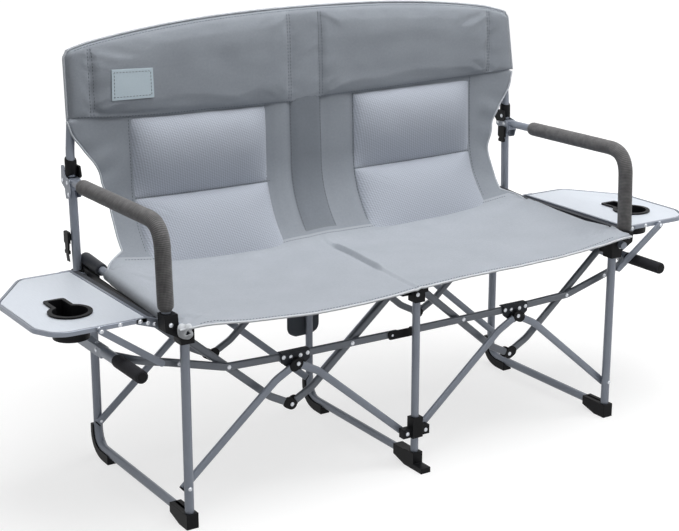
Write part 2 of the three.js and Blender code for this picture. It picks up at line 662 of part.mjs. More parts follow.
function addTable() {
  const outline = [
    [tableInner, tableFront], [tableOuter - tableNoseRun, tableFront],
    [tableOuter - tableNoseStep, tableFront + tableNoseDepth / 4], [tableOuter, tableFront + tableNoseDepth],
    [tableOuter, tableRear - tableCornerDepth], [tableOuter - tableCornerRun, tableRear],
    [tableInner, tableRear],
  ];
  const board = plateXY(roundedOutline(outline, tableRound), tableUnder, tableTop);
  const cupCut = cupShape(cupWall + clear, tableTop + 2, tableUnder - cupDepth, tableUnder - cupDepth);
  const hingeX = postX + 5;
  const lug = (from, to) => join(
    plateXZ([
      [hingeX, tableHinge - 9], [tableInner + 22, tableUnder], [tableInner + 22, tableTop],
      [tableInner, tableTop], [hingeX, tableHinge + 9],
    ], from, to),
    rodAlongY(hingeX, tableHinge, from, to, 9, 12),
  );
  const hingeBore = boreAlongY(hingeX, tableHinge, -legDepth, legDepth, pinRadius);
  const strutPin = rodAlongY(...strutTop, strutLayer.to, tableFront + 1, pinRadius);
  const lugs = join(lug(tableFront, tableFront + tableLug), lug(tableRear + 4.5, tableRear + 4.5 - tableLug));
  placePair("side_table", cut(join(cut(board, cupCut), lugs, strutPin), hingeBore), tableSheet);

  const flangeRound = wasm.Manifold.cylinder(cupWall, cupRadius + cupLip, cupRadius + cupLip - 1, 20);
  const flangeHalf = slotHalfWidth + cupLip - 1;
  const flangeX = [cupX - flangeHalf, cupX + flangeHalf];
  const flangeSlot = box(flangeX, [cupY, cupY + slotLength + cupLip - 1], [0, cupWall]);
  const flange = join(flangeRound.translate([cupX, cupY, 0]), flangeSlot).translate([0, 0, tableTop + clear]);
  const cupFloor = tableTop - cupDepth;
  const slotFloor = tableTop - slotDepth;
  const outside = cupShape(cupWall, tableTop + clear + 1, cupFloor - cupWall, slotFloor - cupWall);
  const inside = cupShape(0, tableTop + cupWall + 5, cupFloor, slotFloor);
  placePair("cup_holder", cut(join(flange, outside), inside), plastic);

  const way = new THREE.Vector2(strutFoot[0] - strutTop[0], strutFoot[1] - strutTop[1]);
  const across = new THREE.Vector2(-way.y, way.x).normalize().multiplyScalar(strutHalfWidth);
  const strip = plateXZ([
    [strutTop[0] + across.x, strutTop[1] + across.y], [strutTop[0] - across.x, strutTop[1] - across.y],
    [strutFoot[0] - across.x, strutFoot[1] - across.y], [strutFoot[0] + across.x, strutFoot[1] + across.y],
  ], strutLayer.from, strutLayer.to);
  const eyes = [strutTop, strutFoot].map((p) =>
    rodAlongY(...p, strutLayer.from, strutLayer.to, strutHalfWidth, 12));
  const strutBore = boreAlongY(...strutTop, strutLayer.to - 1, strutLayer.from + 1, pinRadius);
  placePair("table_strut", cut(join(strip, ...eyes), strutBore), paint);
}

// A closed piece of cloth from a grid of front points and the grid behind it.
function clothSolid(columns, rows, frontPoint, rearPoint) {
  const positions = [];
  for (const point of [frontPoint, rearPoint]) {
    for (let j = 0; j <= rows; j++) {
      for (let i = 0; i <= columns; i++) {
        positions.push(...point((2 * i) / columns - 1, j / rows));
      }
    }
  }
  const wide = columns + 1;
  const layer = wide * (rows + 1);
  const at = (i, j, k) => k * layer + j * wide + i;
  const faces = [];
  const quad = (a, b, c, d) => faces.push(a, b, c, a, c, d);
  for (let j = 0; j < rows; j++) {
    for (let i = 0; i < columns; i++) {
      quad(at(i, j, 0), at(i + 1, j, 0), at(i + 1, j + 1, 0), at(i, j + 1, 0));
      quad(at(i, j, 1), at(i, j + 1, 1), at(i + 1, j + 1, 1), at(i + 1, j, 1));
    }
    quad(at(0, j, 0), at(0, j + 1, 0), at(0, j + 1, 1), at(0, j, 1));
    quad(at(columns, j, 0), at(columns, j, 1), at(columns, j + 1, 1), at(columns, j + 1, 0));
  }
  for (let i = 0; i < columns; i++) {
    quad(at(i, 0, 0), at(i, 0, 1), at(i + 1, 0, 1), at(i + 1, 0, 0));
    quad(at(i, rows, 0), at(i + 1, rows, 0), at(i + 1, rows, 1), at(i, rows, 1));
  }
  const geometry = new THREE.BufferGeometry();
  geometry.setAttribute("position", new THREE.BufferAttribute(new Float32Array(positions), 3));
  geometry.setIndex(faces);
  return solidOf(geometry);
}

// The seat hangs between the side rails and the centre rail.
function seatTopZ(x, y) {
  const w = Math.min(Math.abs(x) / (legSpread + seatFlare + 1), 1);
  const back = (y + seatFront) / (seatRear + seatFront);
  const edge = seatRailZ(y) + seatRailRadius + 4 + clothThickness;
  const centre = upperPivot + seatCentreRise + 15 * back;
  return centre + (edge - centre) * w ** 3 - seatSag * Math.sin(Math.PI * w) * (1 - 0.5 * back);
}

function smooth(from, to, value) {
  const t = Math.min(Math.max((value - from) / (to - from), 0), 1);
  return t * t * (3 - 2 * t);
}

// The raised mesh pads of the back, two above two.
function padSwell(x, share, low, high, height) {
  const across = (Math.abs(x) - padInner) / (padOuter - padInner);
  const up = (share - low) / (high - low);
  if (across <= 0 || across >= 1 || up <= 0 || up >= 1) return 0;
  return height * (1 - (2 * across - 1) ** 6) * (1 - (2 * up - 1) ** 6);
}

const backFace = postY(hingeHeight) - clothSetforward; // front of the back cloth at the fold

function backProfile(x, share) {
  const foot = seatTopZ(x, seatRear) - 1;
  const top = hingeHeight - 0.5;
  const lean = backFace - seatRear - 0.5;
  return [seatRear + 0.5 + lean * (1 - (1 - share) ** 3), foot + (top - foot) * share];
}

function lowerBackPoint(u, share, offset) {
  const flare = smooth(0.32, 0, share);
  const foot = legSpread + seatFlare - 2 - waistHalfWidth;
  const x = u * (waistHalfWidth + foot * flare + 15 * smooth(0.7, 1, share));
  const [y, z] = backProfile(x, share);
  const ahead = backProfile(x, share + 0.01);
  const run = new THREE.Vector2(ahead[0] - y, ahead[1] - z).normalize();
  const depth = offset - (offset > 0 ? 0 : padSwell(x, share, 0.03, 0.66, lowerPadSwell));
  return [x, y + run.y * depth, z - run.x * depth];
}

function topEdge(x) {
  return headerTop - headerFall * (Math.abs(x) / headerHalfWidth) ** 2.4;
}

function postTopAt(x) {
  return topEdge(x) - postCover;
}

function upperBackPoint(u, share, behind) {
  const top = topEdge(u * headerHalfWidth);
  const z = hingeHeight + 0.5 + (top - hingeHeight - 0.5) * share;
  const waist = waistHalfWidth + 15;
  const shoulder = headerTaper * smooth(0.9, 1, share);
  const x = u * (waist + (headerHalfWidth - waist) * smooth(0, 0.42, share) - shoulder);
  const face = backFace + (z - hingeHeight) * 0.03;
  const header = smooth(headerBottom - 18, headerBottom + 14, z);
  const crown = Math.sqrt(Math.max(1 - share ** 10, 0)) * Math.sqrt(Math.max(1 - Math.abs(u) ** 14, 0));
  if (behind) {
    const rear = postY(z) + 4 + (legRadius + 4) * crown;
    return [x, face + clothThickness + header * (rear - face - clothThickness), z];
  }
  const swell = padSwell(x, share, 0.01, 0.37, upperPadSwell);
  return [x, face - swell - header * (10 * crown - 8 * (1 - crown)), z];
}

function addCloth() {
  const seatPoint = (drop) => (u, v) => {
    const y = -seatFront + v * (seatRear + seatFront);
    const flare = smooth(-legDepth - 16, -seatFront, y);
    const x = u * (legSpread + seatFlare + 6 * flare);
    return [x, y, seatTopZ(x, y) - drop];
  };
  place("seat_cloth", clothSolid(20, 8, seatPoint(0), seatPoint(clothThickness)), cloth);
  const lowerAt = (offset) => (u, v) => lowerBackPoint(u, v, offset);
  place("lower_back_cloth", clothSolid(24, 9, lowerAt(0), lowerAt(clothThickness)), backCloth);
  const upperAt = (behind) => (u, v) => upperBackPoint(u, v, behind);
  const upper = clothSolid(24, 13, upperAt(false), upperAt(true));
  const posts = [-postX, 0, postX].map((x) => {
    const radius = (x ? legRadius : centreLegRadius) + 2 * clear;
    const foot = hingeHeight + hingeGap + 1;
    const top = postTopAt(x) + 1;
    return tube([[x, postY(foot), foot], [x, postY(top), top]], radius);
  });
  place("upper_back_cloth", cut(upper, ...posts), backCloth);
}

addCentreFrame();
addSideFrame();
addLinks();
addBars();
addTable();
addCloth();

// The part's frame has its origin on the floor under the middle of its box.
group.updateMatrixWorld(true);
const bounds = new THREE.Box3().setFromObject(group);
group.position.y = -(bounds.min.y + bounds.max.y) / 2;

export default group;
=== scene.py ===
import math

import bmesh
import bpy
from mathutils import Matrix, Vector
from mathutils.bvhtree import BVHTree
from mathutils.noise import noise as noiseAt


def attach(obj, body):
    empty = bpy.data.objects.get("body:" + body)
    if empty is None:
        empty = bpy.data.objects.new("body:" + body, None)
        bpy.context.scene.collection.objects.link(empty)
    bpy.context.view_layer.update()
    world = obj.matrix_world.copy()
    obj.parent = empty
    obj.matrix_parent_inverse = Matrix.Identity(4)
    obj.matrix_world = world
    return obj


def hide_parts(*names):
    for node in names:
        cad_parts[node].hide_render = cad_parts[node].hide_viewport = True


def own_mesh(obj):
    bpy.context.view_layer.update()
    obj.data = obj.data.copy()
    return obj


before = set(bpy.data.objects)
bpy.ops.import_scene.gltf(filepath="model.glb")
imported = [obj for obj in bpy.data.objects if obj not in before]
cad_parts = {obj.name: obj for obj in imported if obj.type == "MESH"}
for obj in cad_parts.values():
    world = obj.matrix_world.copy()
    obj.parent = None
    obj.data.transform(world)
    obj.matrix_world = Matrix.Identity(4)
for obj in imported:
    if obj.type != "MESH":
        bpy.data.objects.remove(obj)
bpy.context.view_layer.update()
scene = bpy.context.scene
shiftY = 5.599
bothSides = (("right", 1), ("left", -1))
print("stage: frame loaded")


# All sizes below are millimetres in the drawing's own frame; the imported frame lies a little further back.
def metres(point):
    return (point[0] / 1000, (point[1] + shiftY) / 1000, point[2] / 1000)


def drawn(place):
    return Vector((place[0] * 1000, place[1] * 1000 - shiftY, place[2] * 1000))


def smooth(low, high, value):
    t = min(max((value - low) / (high - low), 0), 1)
    return t * t * (3 - 2 * t)


def mix(a, b, t):
    return a + (b - a) * t


# Straight lines through measured places, for edges read off the photograph.
def along(table, x):
    for (x0, z0), (x1, z1) in zip(table, table[1:]):
        if x <= x1:
            return mix(z0, z1, min(max((x - x0) / (x1 - x0), 0), 1))
    return table[-1][1]


# Materials

def hexColor(code):
    channels = [int(code[i:i + 2], 16) / 255 for i in (0, 2, 4)]
    linear = [c / 12.92 if c <= 0.04045 else ((c + 0.055) / 1.055) ** 2.4 for c in channels]
    return (*linear, 1)


# Adds a node, sets or links its inputs, and gives back one of its outputs, linked on where that is asked for.
def addNode(tree, kind, inputs=None, give=0, to=None, **settings):
    node = tree.nodes.new(kind)
    for key, value in settings.items():
        setattr(node, key, value)
    for key, value in (inputs or {}).items():
        for one in value if isinstance(value, list) else [value]:
            if isinstance(one, bpy.types.NodeSocket):
                tree.links.new(one, node.inputs[key])
            else:
                node.inputs[key].default_value = one
    if to:
        tree.links.new(node.outputs[give], to)
    return node.outputs[give] if node.outputs else node


def newMaterial(name):
    material = bpy.data.materials.new(name)
    material.use_nodes = True
    tree = material.node_tree
    return material, tree, tree.nodes["Principled BSDF"].inputs


# Waves across a cloth, each with its own slant in degrees and its pitch in millimetres.
def ripples(tree, place, *runs):
    waves = []
    for degrees, pitch in runs:
        turns, slant = 2 * math.pi * 1000 / pitch, math.radians(degrees)
        across = (math.cos(slant) * turns, math.sin(slant) * turns, 0)
        way = addNode(tree, "ShaderNodeVectorMath", {0: place, 1: across}, "Value", operation="DOT_PRODUCT")
        waves.append(addNode(tree, "ShaderNodeMath", {0: way}, operation="SINE"))
    return waves


# Each recipe below gives a material's tone and, where it has them, its uneven roughness and its relief.
def makeMaterial(name, recipe, dark, light, *details):
    material, tree, surface = newMaterial(name)
    look = recipe(tree, *details)
    addNode(tree, "ShaderNodeMix", {0: look["tone"], 6: hexColor(dark), 7: hexColor(light)}, 2,
            surface["Base Color"], data_type="RGBA")
    if "uneven" in look:
        source, low, high = look["uneven"]
        addNode(tree, "ShaderNodeMapRange", {"Value": source, "To Min": low, "To Max": high}, 0,
                surface["Roughness"])
    if "relief" in look:
        height, distance, strength = look["relief"]
        addNode(tree, "ShaderNodeBump", {"Height": height, "Distance": distance, "Strength": strength}, 0,
                surface["Normal"])
    for label, value in look.get("plain", {}).items():
        surface[label].default_value = value
    return material


# Powder-coated steel: a soft blue-grey sheen with a fine orange-peel skin and a slightly uneven tone.
def powderCoat(tree):
    place = addNode(tree, "ShaderNodeTexCoord", give="Object")
    cloud = addNode(tree, "ShaderNodeTexNoise", {"Vector": place, "Scale": 1000 / 60, "Detail": 3.0}, "Fac")
    peel = addNode(tree, "ShaderNodeTexNoise", {"Vector": place, "Scale": 1000 / 1.4}, "Fac")
    return {"tone": cloud, "uneven": (peel, 0.34, 0.5), "relief": (peel, 0.00005, 0.5),
            "plain": {"Metallic": 0.25, "Coat Weight": 0.12, "Coat Roughness": 0.3}}


# Moulded nylon: near-black, half matt, with the fine spark texture of a mould.
def mouldedNylon(tree):
    place = addNode(tree, "ShaderNodeTexCoord", give="Object")
    cloud = addNode(tree, "ShaderNodeTexNoise", {"Vector": place, "Scale": 1000 / 35}, "Fac")
    grain = addNode(tree, "ShaderNodeTexNoise", {"Vector": place, "Scale": 1000 / 0.9, "Detail": 3.0}, "Fac")
    return {"tone": cloud, "uneven": (grain, 0.42, 0.62), "relief": (grain, 0.00008, 0.6),
            "plain": {"Specular IOR Level": 0.15}}


# Knitted polyester sleeve over the arm foam: grey yarns crossing at a slant, with dark holes between them.
# The knit is drawn twice as coarse as the real 2 mm, so that it shows.
def knittedSleeve(tree):
    place = addNode(tree, "ShaderNodeTexCoord", give="UV")
    yarns = ripples(tree, place, (38, 4.2), (-38, 4.2))
    knot = addNode(tree, "ShaderNodeMath", {0: yarns[0], 1: yarns[1]}, operation="MULTIPLY")
    bounds = {"From Min": -0.8, "To Min": 0.1, "To Max": 1.0}
    height = addNode(tree, "ShaderNodeMapRange", {"Value": knot, **bounds})
    fuzz = addNode(tree, "ShaderNodeTexNoise", {"Vector": place, "Scale": 1000 / 16, "Detail": 4.0}, "Fac")
    shade = addNode(tree, "ShaderNodeMath", {0: height, 1: fuzz}, operation="MULTIPLY")
    plain = {"Roughness": 0.92, "Sheen Weight": 0.15}
    return {"tone": shade, "relief": (height, 0.0006, 0.6), "plain": plain}


# Closed-cell foam: dull black with an open pitted skin.
def cellFoam(tree):
    place = addNode(tree, "ShaderNodeTexCoord", give="Object")
    cells = addNode(tree, "ShaderNodeTexVoronoi", {"Vector": place, "Scale": 1000 / 1.1}, "Distance")
    return {"tone": cells, "relief": (cells, 0.00035, 0.5),
            "plain": {"Roughness": 0.88, "Specular IOR Level": 0.3}}


# Coated or anodised aluminium sheet: pale silver with a faint brushed streak that catches a soft light.
def brushedSheet(tree, metal, rough):
    place = addNode(tree, "ShaderNodeTexCoord", give="Object")
    long = addNode(tree, "ShaderNodeMapping", {"Vector": place, "Scale": (1.0, 0.04, 1.0)})
    streak = addNode(tree, "ShaderNodeTexNoise", {"Vector": long, "Scale": 1000 / 1.1, "Detail": 3.0}, "Fac")
    return {"tone": streak, "uneven": (streak, rough - 0.06, rough + 0.08), "relief": (streak, 0.00003, 0.4),
            "plain": {"Metallic": metal}}


# Polyester oxford: a plain weave of thick yarns with slubs and a dusty broad shading. The yarns are drawn at
# 1.3 mm, about double, so that they show.
def oxfordCloth(tree):
    place = addNode(tree, "ShaderNodeTexCoord", give="UV")
    spot = addNode(tree, "ShaderNodeTexCoord", give="Object")
    yarns = ripples(tree, place, (0, 1.3), (90, 1.3))
    weave = addNode(tree, "ShaderNodeMath", {0: yarns[0], 1: yarns[1]}, operation="MULTIPLY")
    slub = addNode(tree, "ShaderNodeTexNoise", {"Vector": place, "Scale": 1000 / 6, "Detail": 3.0}, "Fac")
    broad = addNode(tree, "ShaderNodeTexNoise", {"Vector": spot, "Scale": 1000 / 90, "Detail": 3.0}, "Fac")
    mottle = addNode(tree, "ShaderNodeMath", {0: slub, 1: broad}, operation="ADD")
    half = addNode(tree, "ShaderNodeMath", {0: mottle, 1: 0.45}, operation="MULTIPLY")
    tone = addNode(tree, "ShaderNodeMath", {0: weave, 1: 0.12, 2: half}, operation="MULTIPLY_ADD")
    height = addNode(tree, "ShaderNodeMath", {0: slub, 1: 1.2, 2: weave}, operation="MULTIPLY_ADD")
    return {"tone": tone, "uneven": (slub, 0.78, 0.92), "relief": (height, 0.00022, 0.5),
            "plain": {"Sheen Weight": 0.1}}


# Sandwich mesh: a springy knit of slanting ribs with small dark holes between them, low in contrast.
def sandwichMesh(tree):
    place = addNode(tree, "ShaderNodeTexCoord", give="UV")
    ribs = ripples(tree, place, (62, 5.6), (-55, 6.4))
    knot = addNode(tree, "ShaderNodeMath", {0: ribs[0], 1: ribs[1]}, operation="MULTIPLY")
    lean = addNode(tree, "ShaderNodeMath", {0: ribs[0], 1: 0.35, 2: knot}, operation="MULTIPLY_ADD")
    bounds = {"From Min": -1.0, "To Min": 0.0, "To Max": 0.8}
    high = addNode(tree, "ShaderNodeMapRange", {"Value": lean, **bounds})
    fuzz = addNode(tree, "ShaderNodeTexNoise", {"Vector": place, "Scale": 1000 / 4, "Detail": 3.0}, "Fac")
    tone = addNode(tree, "ShaderNodeMath", {0: fuzz, 1: 0.3, 2: high}, operation="MULTIPLY_ADD")
    return {"tone": tone, "relief": (high, 0.0007, 0.55), "plain": {"Roughness": 0.9, "Sheen Weight": 0.12}}


# Woven tape: binding, hems and webbing with ribs across their length.
def ribbedTape(tree, pitch):
    place = addNode(tree, "ShaderNodeTexCoord", give="UV")
    rib = ripples(tree, place, (90, pitch))[0]
    ribs = addNode(tree, "ShaderNodeMapRange", {"Value": rib, "From Min": -1.0, "To Max": 0.5})
    fuzz = addNode(tree, "ShaderNodeTexNoise", {"Vector": place, "Scale": 1000 / 2.2}, "Fac")
    tone = addNode(tree, "ShaderNodeMath", {0: fuzz, 1: 0.5, 2: ribs}, operation="MULTIPLY_ADD")
    return {"tone": tone, "relief": (ribs, 0.0003, 0.5), "plain": {"Roughness": 0.82}}


# Bright fittings, sewing thread and the rubber patch: small things with only a fine cloudy tone.
def smallFinish(tree, metal, rough):
    place = addNode(tree, "ShaderNodeTexCoord", give="Object")
    cloud = addNode(tree, "ShaderNodeTexNoise", {"Vector": place, "Scale": 1000 / 2.5, "Detail": 3.0}, "Fac")
    return {"tone": cloud, "uneven": (cloud, rough - 0.1, rough + 0.1), "plain": {"Metallic": metal}}


paint = makeMaterial("powder_coated_steel", powderCoat, "7d838f", "8f96a2")
# The same powder coat made darker for the spreader bars and the upper links: painted shade for their place in
# the shadow under the seat.
shadedPaint = makeMaterial("powder_coated_steel_painted_shade", powderCoat, "62676f", "72777f")
nylon = makeMaterial("moulded_nylon", mouldedNylon, "060608", "0e0f12")
greyNylon = makeMaterial("moulded_nylon_grey", mouldedNylon, "2b2d32", "3c3f45")
sleeveKnit = makeMaterial("knitted_polyester_sleeve", knittedSleeve, "403f40", "9c9b9b")
gripFoam = makeMaterial("closed_cell_foam", cellFoam, "141417", "2c2c31")
tableCoat = makeMaterial("coated_aluminium_sheet", brushedSheet, "c6ccd5", "dae0e8", 0.2, 0.45)
tableRim = makeMaterial("anodised_aluminium", brushedSheet, "767c87", "949aa5", 0.6, 0.36)
slingCloth = makeMaterial("polyester_oxford", oxfordCloth, "959ba3", "b6bbc3")
# The back and header take a darker copy of the seat's oxford: painted shade for their upright faces, which
# get less of the light from above than the seat.
shadedOxford = makeMaterial("polyester_oxford_painted_shade", oxfordCloth, "81878f", "9ea4ac")
# The middle band between the pads is darker still, on top of the same painted shade as the rest of the back.
stripOxford = makeMaterial("polyester_oxford_dark", oxfordCloth, "6c727a", "868c94")
meshKnit = makeMaterial("sandwich_mesh", sandwichMesh, "9096a1", "c0c6d1")
tape = makeMaterial("woven_binding_tape", ribbedTape, "acb1b8", "cfd3d9", 1.6)
hemTape = makeMaterial("woven_hem_tape", ribbedTape, "c3c7cc", "dfe2e6", 1.6)
webbing = makeMaterial("nylon_webbing", ribbedTape, "141518", "26272b", 2.0)
lining = makeMaterial("coated_polyester_lining", oxfordCloth, "c6cacf", "e0e3e6")
pouchCloth = makeMaterial("polyester_oxford_charcoal", oxfordCloth, "555b62", "71777e")
# Dark sewing thread: the stitches' own colour, and at the pad tucks and the header's foot also painted shade.
thread = makeMaterial("polyester_thread_and_painted_shade", smallFinish, "3e434b", "575d66", 0.0, 0.8)
zinc = makeMaterial("zinc_plated_steel", smallFinish, "a9adb4", "dcdfe3", 1.0, 0.32)
patch = makeMaterial("moulded_rubber", smallFinish, "b4c4cd", "c6d3db", 0.0, 0.55)
print("stage: materials made")


# Shapes: a shape is a list of points, a list of faces, and for each face its texture places in metres.

# The curve that takes the place of a corner.
def bentCorner(before, corner, after, bend, turns):
    inward = (before - corner).normalized()
    outward = (after - corner).normalized()
    reach = bend / math.tan(inward.angle(outward) / 2)
    start, end = corner + inward * reach, corner + outward * reach
    steps = [k / turns for k in range(turns + 1)]
    return [start * (1 - t) ** 2 + corner * 2 * t * (1 - t) + end * t * t for t in steps]


def roundedPath(corners, bend, turns=8):
    points = [Vector(c) for c in corners]
    run = [points[0]]
    for before, corner, after in zip(points, points[1:], points[2:]):
        run += bentCorner(before, corner, after, bend, turns)
    return run + [points[-1]]


# Rings every few millimetres let a woven texture and a soft bend show on a long straight.
def resampled(path, step):
    run = [path[0]]
    for a, b in zip(path, path[1:]):
        count = max(1, round((b - a).length / step))
        run += [a.lerp(b, k / count) for k in range(1, count + 1)]
    return run


def circle(radius, sides=24):
    return [(radius * math.cos(2 * math.pi * k / sides), radius * math.sin(2 * math.pi * k / sides))
            for k in range(sides)]


def flatOval(halfDepth, halfWidth):
    corner = halfDepth * 0.85
    outline = []
    for a, b in circle(corner):
        outline.append((math.copysign(halfDepth - corner, a) + a, math.copysign(halfWidth - corner, b) + b))
    return outline


def sweepShape(path, section, reference, scales=None, closed=False):
    path = [Vector(p) for p in path]
    count = len(path)
    sides = len(section)
    points, faces, places = [], [], []
    axis = None
    run = 0.0
    lengths = []
    for i, point in enumerate(path):
        before = path[i - 1] if i or closed else point
        after = path[(i + 1) % count] if i < count - 1 or closed else point
        tangent = (after - before).normalized()
        axis = Vector(reference) if axis is None else axis
        axis = (axis - tangent * axis.dot(tangent)).normalized()
        other = tangent.cross(axis)
        run += (point - path[i - 1]).length if i else 0
        lengths.append(run / 1000)
        grow = scales[i] if scales else 1
        points += [point + axis * (a * grow) + other * (b * grow) for a, b in section]
    around = [0.0]
    for k in range(sides):
        a = Vector(section[k])
        around.append(around[-1] + (Vector(section[(k + 1) % sides]) - a).length / 1000)
    for i in range(count if closed else count - 1):
        low = lengths[i]
        high = lengths[i + 1] if i < count - 1 else low + (path[0] - path[-1]).length / 1000
        for k in range(sides):
            n = (k + 1) % sides
            m = (i + 1) % count
            faces.append((i * sides + k, i * sides + n, m * sides + n, m * sides + k))
            places.append(((around[k], low), (around[k + 1], low), (around[k + 1], high), (around[k], high)))
    if not closed:
        last = (count - 1) * sides
        faces.append(tuple(range(sides - 1, -1, -1)))
        faces.append(tuple(last + k for k in range(sides)))
        flat = [(a / 1000, b / 1000) for a, b in section]
        places += [tuple(flat[::-1]), tuple(flat)]
    return points, faces, places


def rodShape(start, end, radius, sides=32):
    a, b = Vector(start), Vector(end)
    upright = abs((b - a).normalized().z) > 0.9
    return sweepShape([a, b], circle(radius, sides), (1, 0, 0) if upright else (0, 0, 1))


# A plate drawn in the plane square to an axis, between two places on that axis.
def plateShape(outline, axis, low, high):
    points = []
    for level in (low, high):
        for a, b in outline:
            points.append({"x": (level, a, b), "y": (a, level, b), "z": (a, b, level)}[axis])
    n = len(outline)
    faces = [tuple(range(n)), tuple(range(2 * n - 1, n - 1, -1))]
    faces += [(k, k + n, (k + 1) % n + n, (k + 1) % n) for k in range(n)]
    return points, faces, None


def boxShape(x, y, z):
    return plateShape([(x[0], y[0]), (x[1], y[0]), (x[1], y[1]), (x[0], y[1])], "z", *z)


# A closed outline with one round at all its corners, or a list of rounds.
def roundedOutline(corners, rounds, turns=6):
    flat = [Vector((c[0], c[1], 0)) for c in corners]
    if not isinstance(rounds, list):
        rounds = [rounds] * len(flat)
    outline = []
    for i, corner in enumerate(flat):
        curve = bentCorner(flat[i - 1], corner, flat[(i + 1) % len(flat)], rounds[i], turns)
        outline += [(p.x, p.y) for p in curve]
    return outline


def flippedShape(shape, axis):
    points, faces, places = shape
    flipped = []
    for point in points:
        spot = list(point)
        spot[axis] = -spot[axis]
        flipped.append(spot)
    return flipped, [tuple(reversed(f)) for f in faces], places and [tuple(reversed(p)) for p in places]


def mirroredShape(shape, side):
    return shape if side > 0 else flippedShape(shape, 0)


# Rows of points as one sheet, with texture places across and along it, measured on the sheet itself.
def gridShape(rows):
    wide, middle = len(rows[0]), len(rows[0]) // 2
    along = [0.0]
    for a, b in zip(rows, rows[1:]):
        along.append(along[-1] + (Vector(b[middle]) - Vector(a[middle])).length / 1000)
    faces, places = [], []
    for j in range(len(rows) - 1):
        for i in range(wide - 1):
            corners = ((j, i), (j, i + 1), (j + 1, i + 1), (j + 1, i))
            faces.append(tuple(row * wide + column for row, column in corners))
            places.append(tuple((rows[row][column][0] / 1000, along[row]) for row, column in corners))
    return [p for row in rows for p in row], faces, places


def placed(name, data):
    piece = bpy.data.objects.new(name, data)
    scene.collection.objects.link(piece)
    return piece


# A mesh with texture places and a material for each face.
def meshOf(name, points, faces, places, looks):
    mesh = bpy.data.meshes.new(name)
    mesh.from_pydata([metres(p) for p in points], [], faces)
    layer = mesh.uv_layers.new(name="cloth")
    materials = list(dict.fromkeys(looks))
    for material in materials:
        mesh.materials.append(material)
    for polygon, place, material in zip(mesh.polygons, places, looks):
        polygon.material_index = materials.index(material)
        for k, loop in enumerate(polygon.loop_indices):
            corner = mesh.vertices[mesh.loops[loop].vertex_index].co
            layer.data[loop].uv = place[k] if place else (corner.x + corner.y, corner.z + corner.y)
    mesh.update()
    return mesh


def makePiece(name, parts, angle=35, bevel=0.0):
    points, faces, places, looks = [], [], [], []
    for (shapePoints, shapeFaces, shapePlaces), material in parts:
        start = len(points)
        points += shapePoints
        faces += [tuple(start + k for k in f) for f in shapeFaces]
        places += shapePlaces or [None] * len(shapeFaces)
        looks += [material] * len(shapeFaces)
    return finishPiece(name, meshOf(name, points, faces, places, looks), angle, bevel)


def finishPiece(name, mesh, angle, bevel):
    piece = placed(name, mesh)
    faceOutward(mesh)
    edged(piece, bevel, angle, 2)
    return piece


# Smooth faces with sharp edges, which are rounded off by a bevel where one is given.
def edged(piece, bevel, angle=40, segments=3):
    piece.data.shade_smooth()
    piece.data.set_sharp_from_angle(angle=math.radians(angle))
    if bevel:
        edge = piece.modifiers.new("edge", "BEVEL")
        edge.width = bevel / 1000
        edge.segments = segments
        edge.angle_limit = math.radians(angle)
        edge.harden_normals = True
        bake(piece)


def thickened(piece, thickness):
    solid = piece.modifiers.new("cloth", "SOLIDIFY")
    solid.thickness = thickness / 1000
    solid.offset = -1
    bake(piece)


def faceOutward(mesh):
    work = bmesh.new()
    work.from_mesh(mesh)
    bmesh.ops.recalc_face_normals(work, faces=work.faces)
    work.to_mesh(mesh)
    work.free()


def bake(piece):
    graph = bpy.context.evaluated_depsgraph_get()
    mesh = bpy.data.meshes.new_from_object(piece.evaluated_get(graph))
    old = piece.data
    piece.modifiers.clear()
    piece.data = mesh
    bpy.data.meshes.remove(old)


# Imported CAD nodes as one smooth, bevelled piece that stands for them, cut down to a top where one is given.
def refined(name, nodes, body, material, bevel=0.8, top=None):
    work = bmesh.new()
    for node in nodes:
        work.from_mesh(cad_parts[node].data)
    for vert in work.verts if top else ():
        vert.co.z = min(vert.co.z, top / 1000)
    bmesh.ops.remove_doubles(work, verts=work.verts, dist=1e-5)
    bmesh.ops.dissolve_limit(work, angle_limit=math.radians(1), verts=work.verts, edges=work.edges)
    mesh = bpy.data.meshes.new(name)
    work.to_mesh(mesh)
    work.free()
    mesh.materials.clear()
    mesh.materials.append(material)
    settle(finishPiece(name, mesh, 38, bevel), body, nodes)


def settle(piece, body, nodes=()):
    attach(piece, body)
    if nodes:
        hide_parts(*nodes)


def addPiece(name, shapes, body, nodes=(), bevel=0.8):
    settle(makePiece(name, shapes, bevel=bevel), body, nodes)


# A rigid piece of one side, drawn as the right one and mirrored for the left.
def addSided(word, name, shapes, part, node=None, bevel=0.8):
    side = dict(bothSides)[word]
    turned = [(mirroredShape(shape, side), material) for shape, material in shapes]
    addPiece(word + name, turned, word + "_" + part, [word + "_" + node] if node else (), bevel)


# When the chair folds, its cloth is drawn together across the seat while its height stays; this only sets
# each cloth piece on its body, with a mesh of its own.
def gather(piece, body, nodes=()):
    settle(piece, body, nodes)
    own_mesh(piece)


# Geometry Nodes trees for the small things that repeat; each gives plain shapes with their finish.

def newTree(name, sockets):
    tree = bpy.data.node_groups.new(name, "GeometryNodeTree")
    tree.interface.new_socket("Geometry", in_out="INPUT", socket_type="NodeSocketGeometry")
    for label, kind in sockets:
        tree.interface.new_socket(label, in_out="INPUT", socket_type="NodeSocket" + kind)
    tree.interface.new_socket("Geometry", in_out="OUTPUT", socket_type="NodeSocketGeometry")
    return tree, tree.nodes.new("NodeGroupInput").outputs


def closeTree(tree, shapes, finish):
    plain = addNode(tree, "GeometryNodeRealizeInstances", {"Geometry": shapes})
    done = addNode(tree, "GeometryNodeSetMaterial", {"Geometry": plain, "Material": finish})
    addNode(tree, "NodeGroupOutput", {0: done})
    return tree


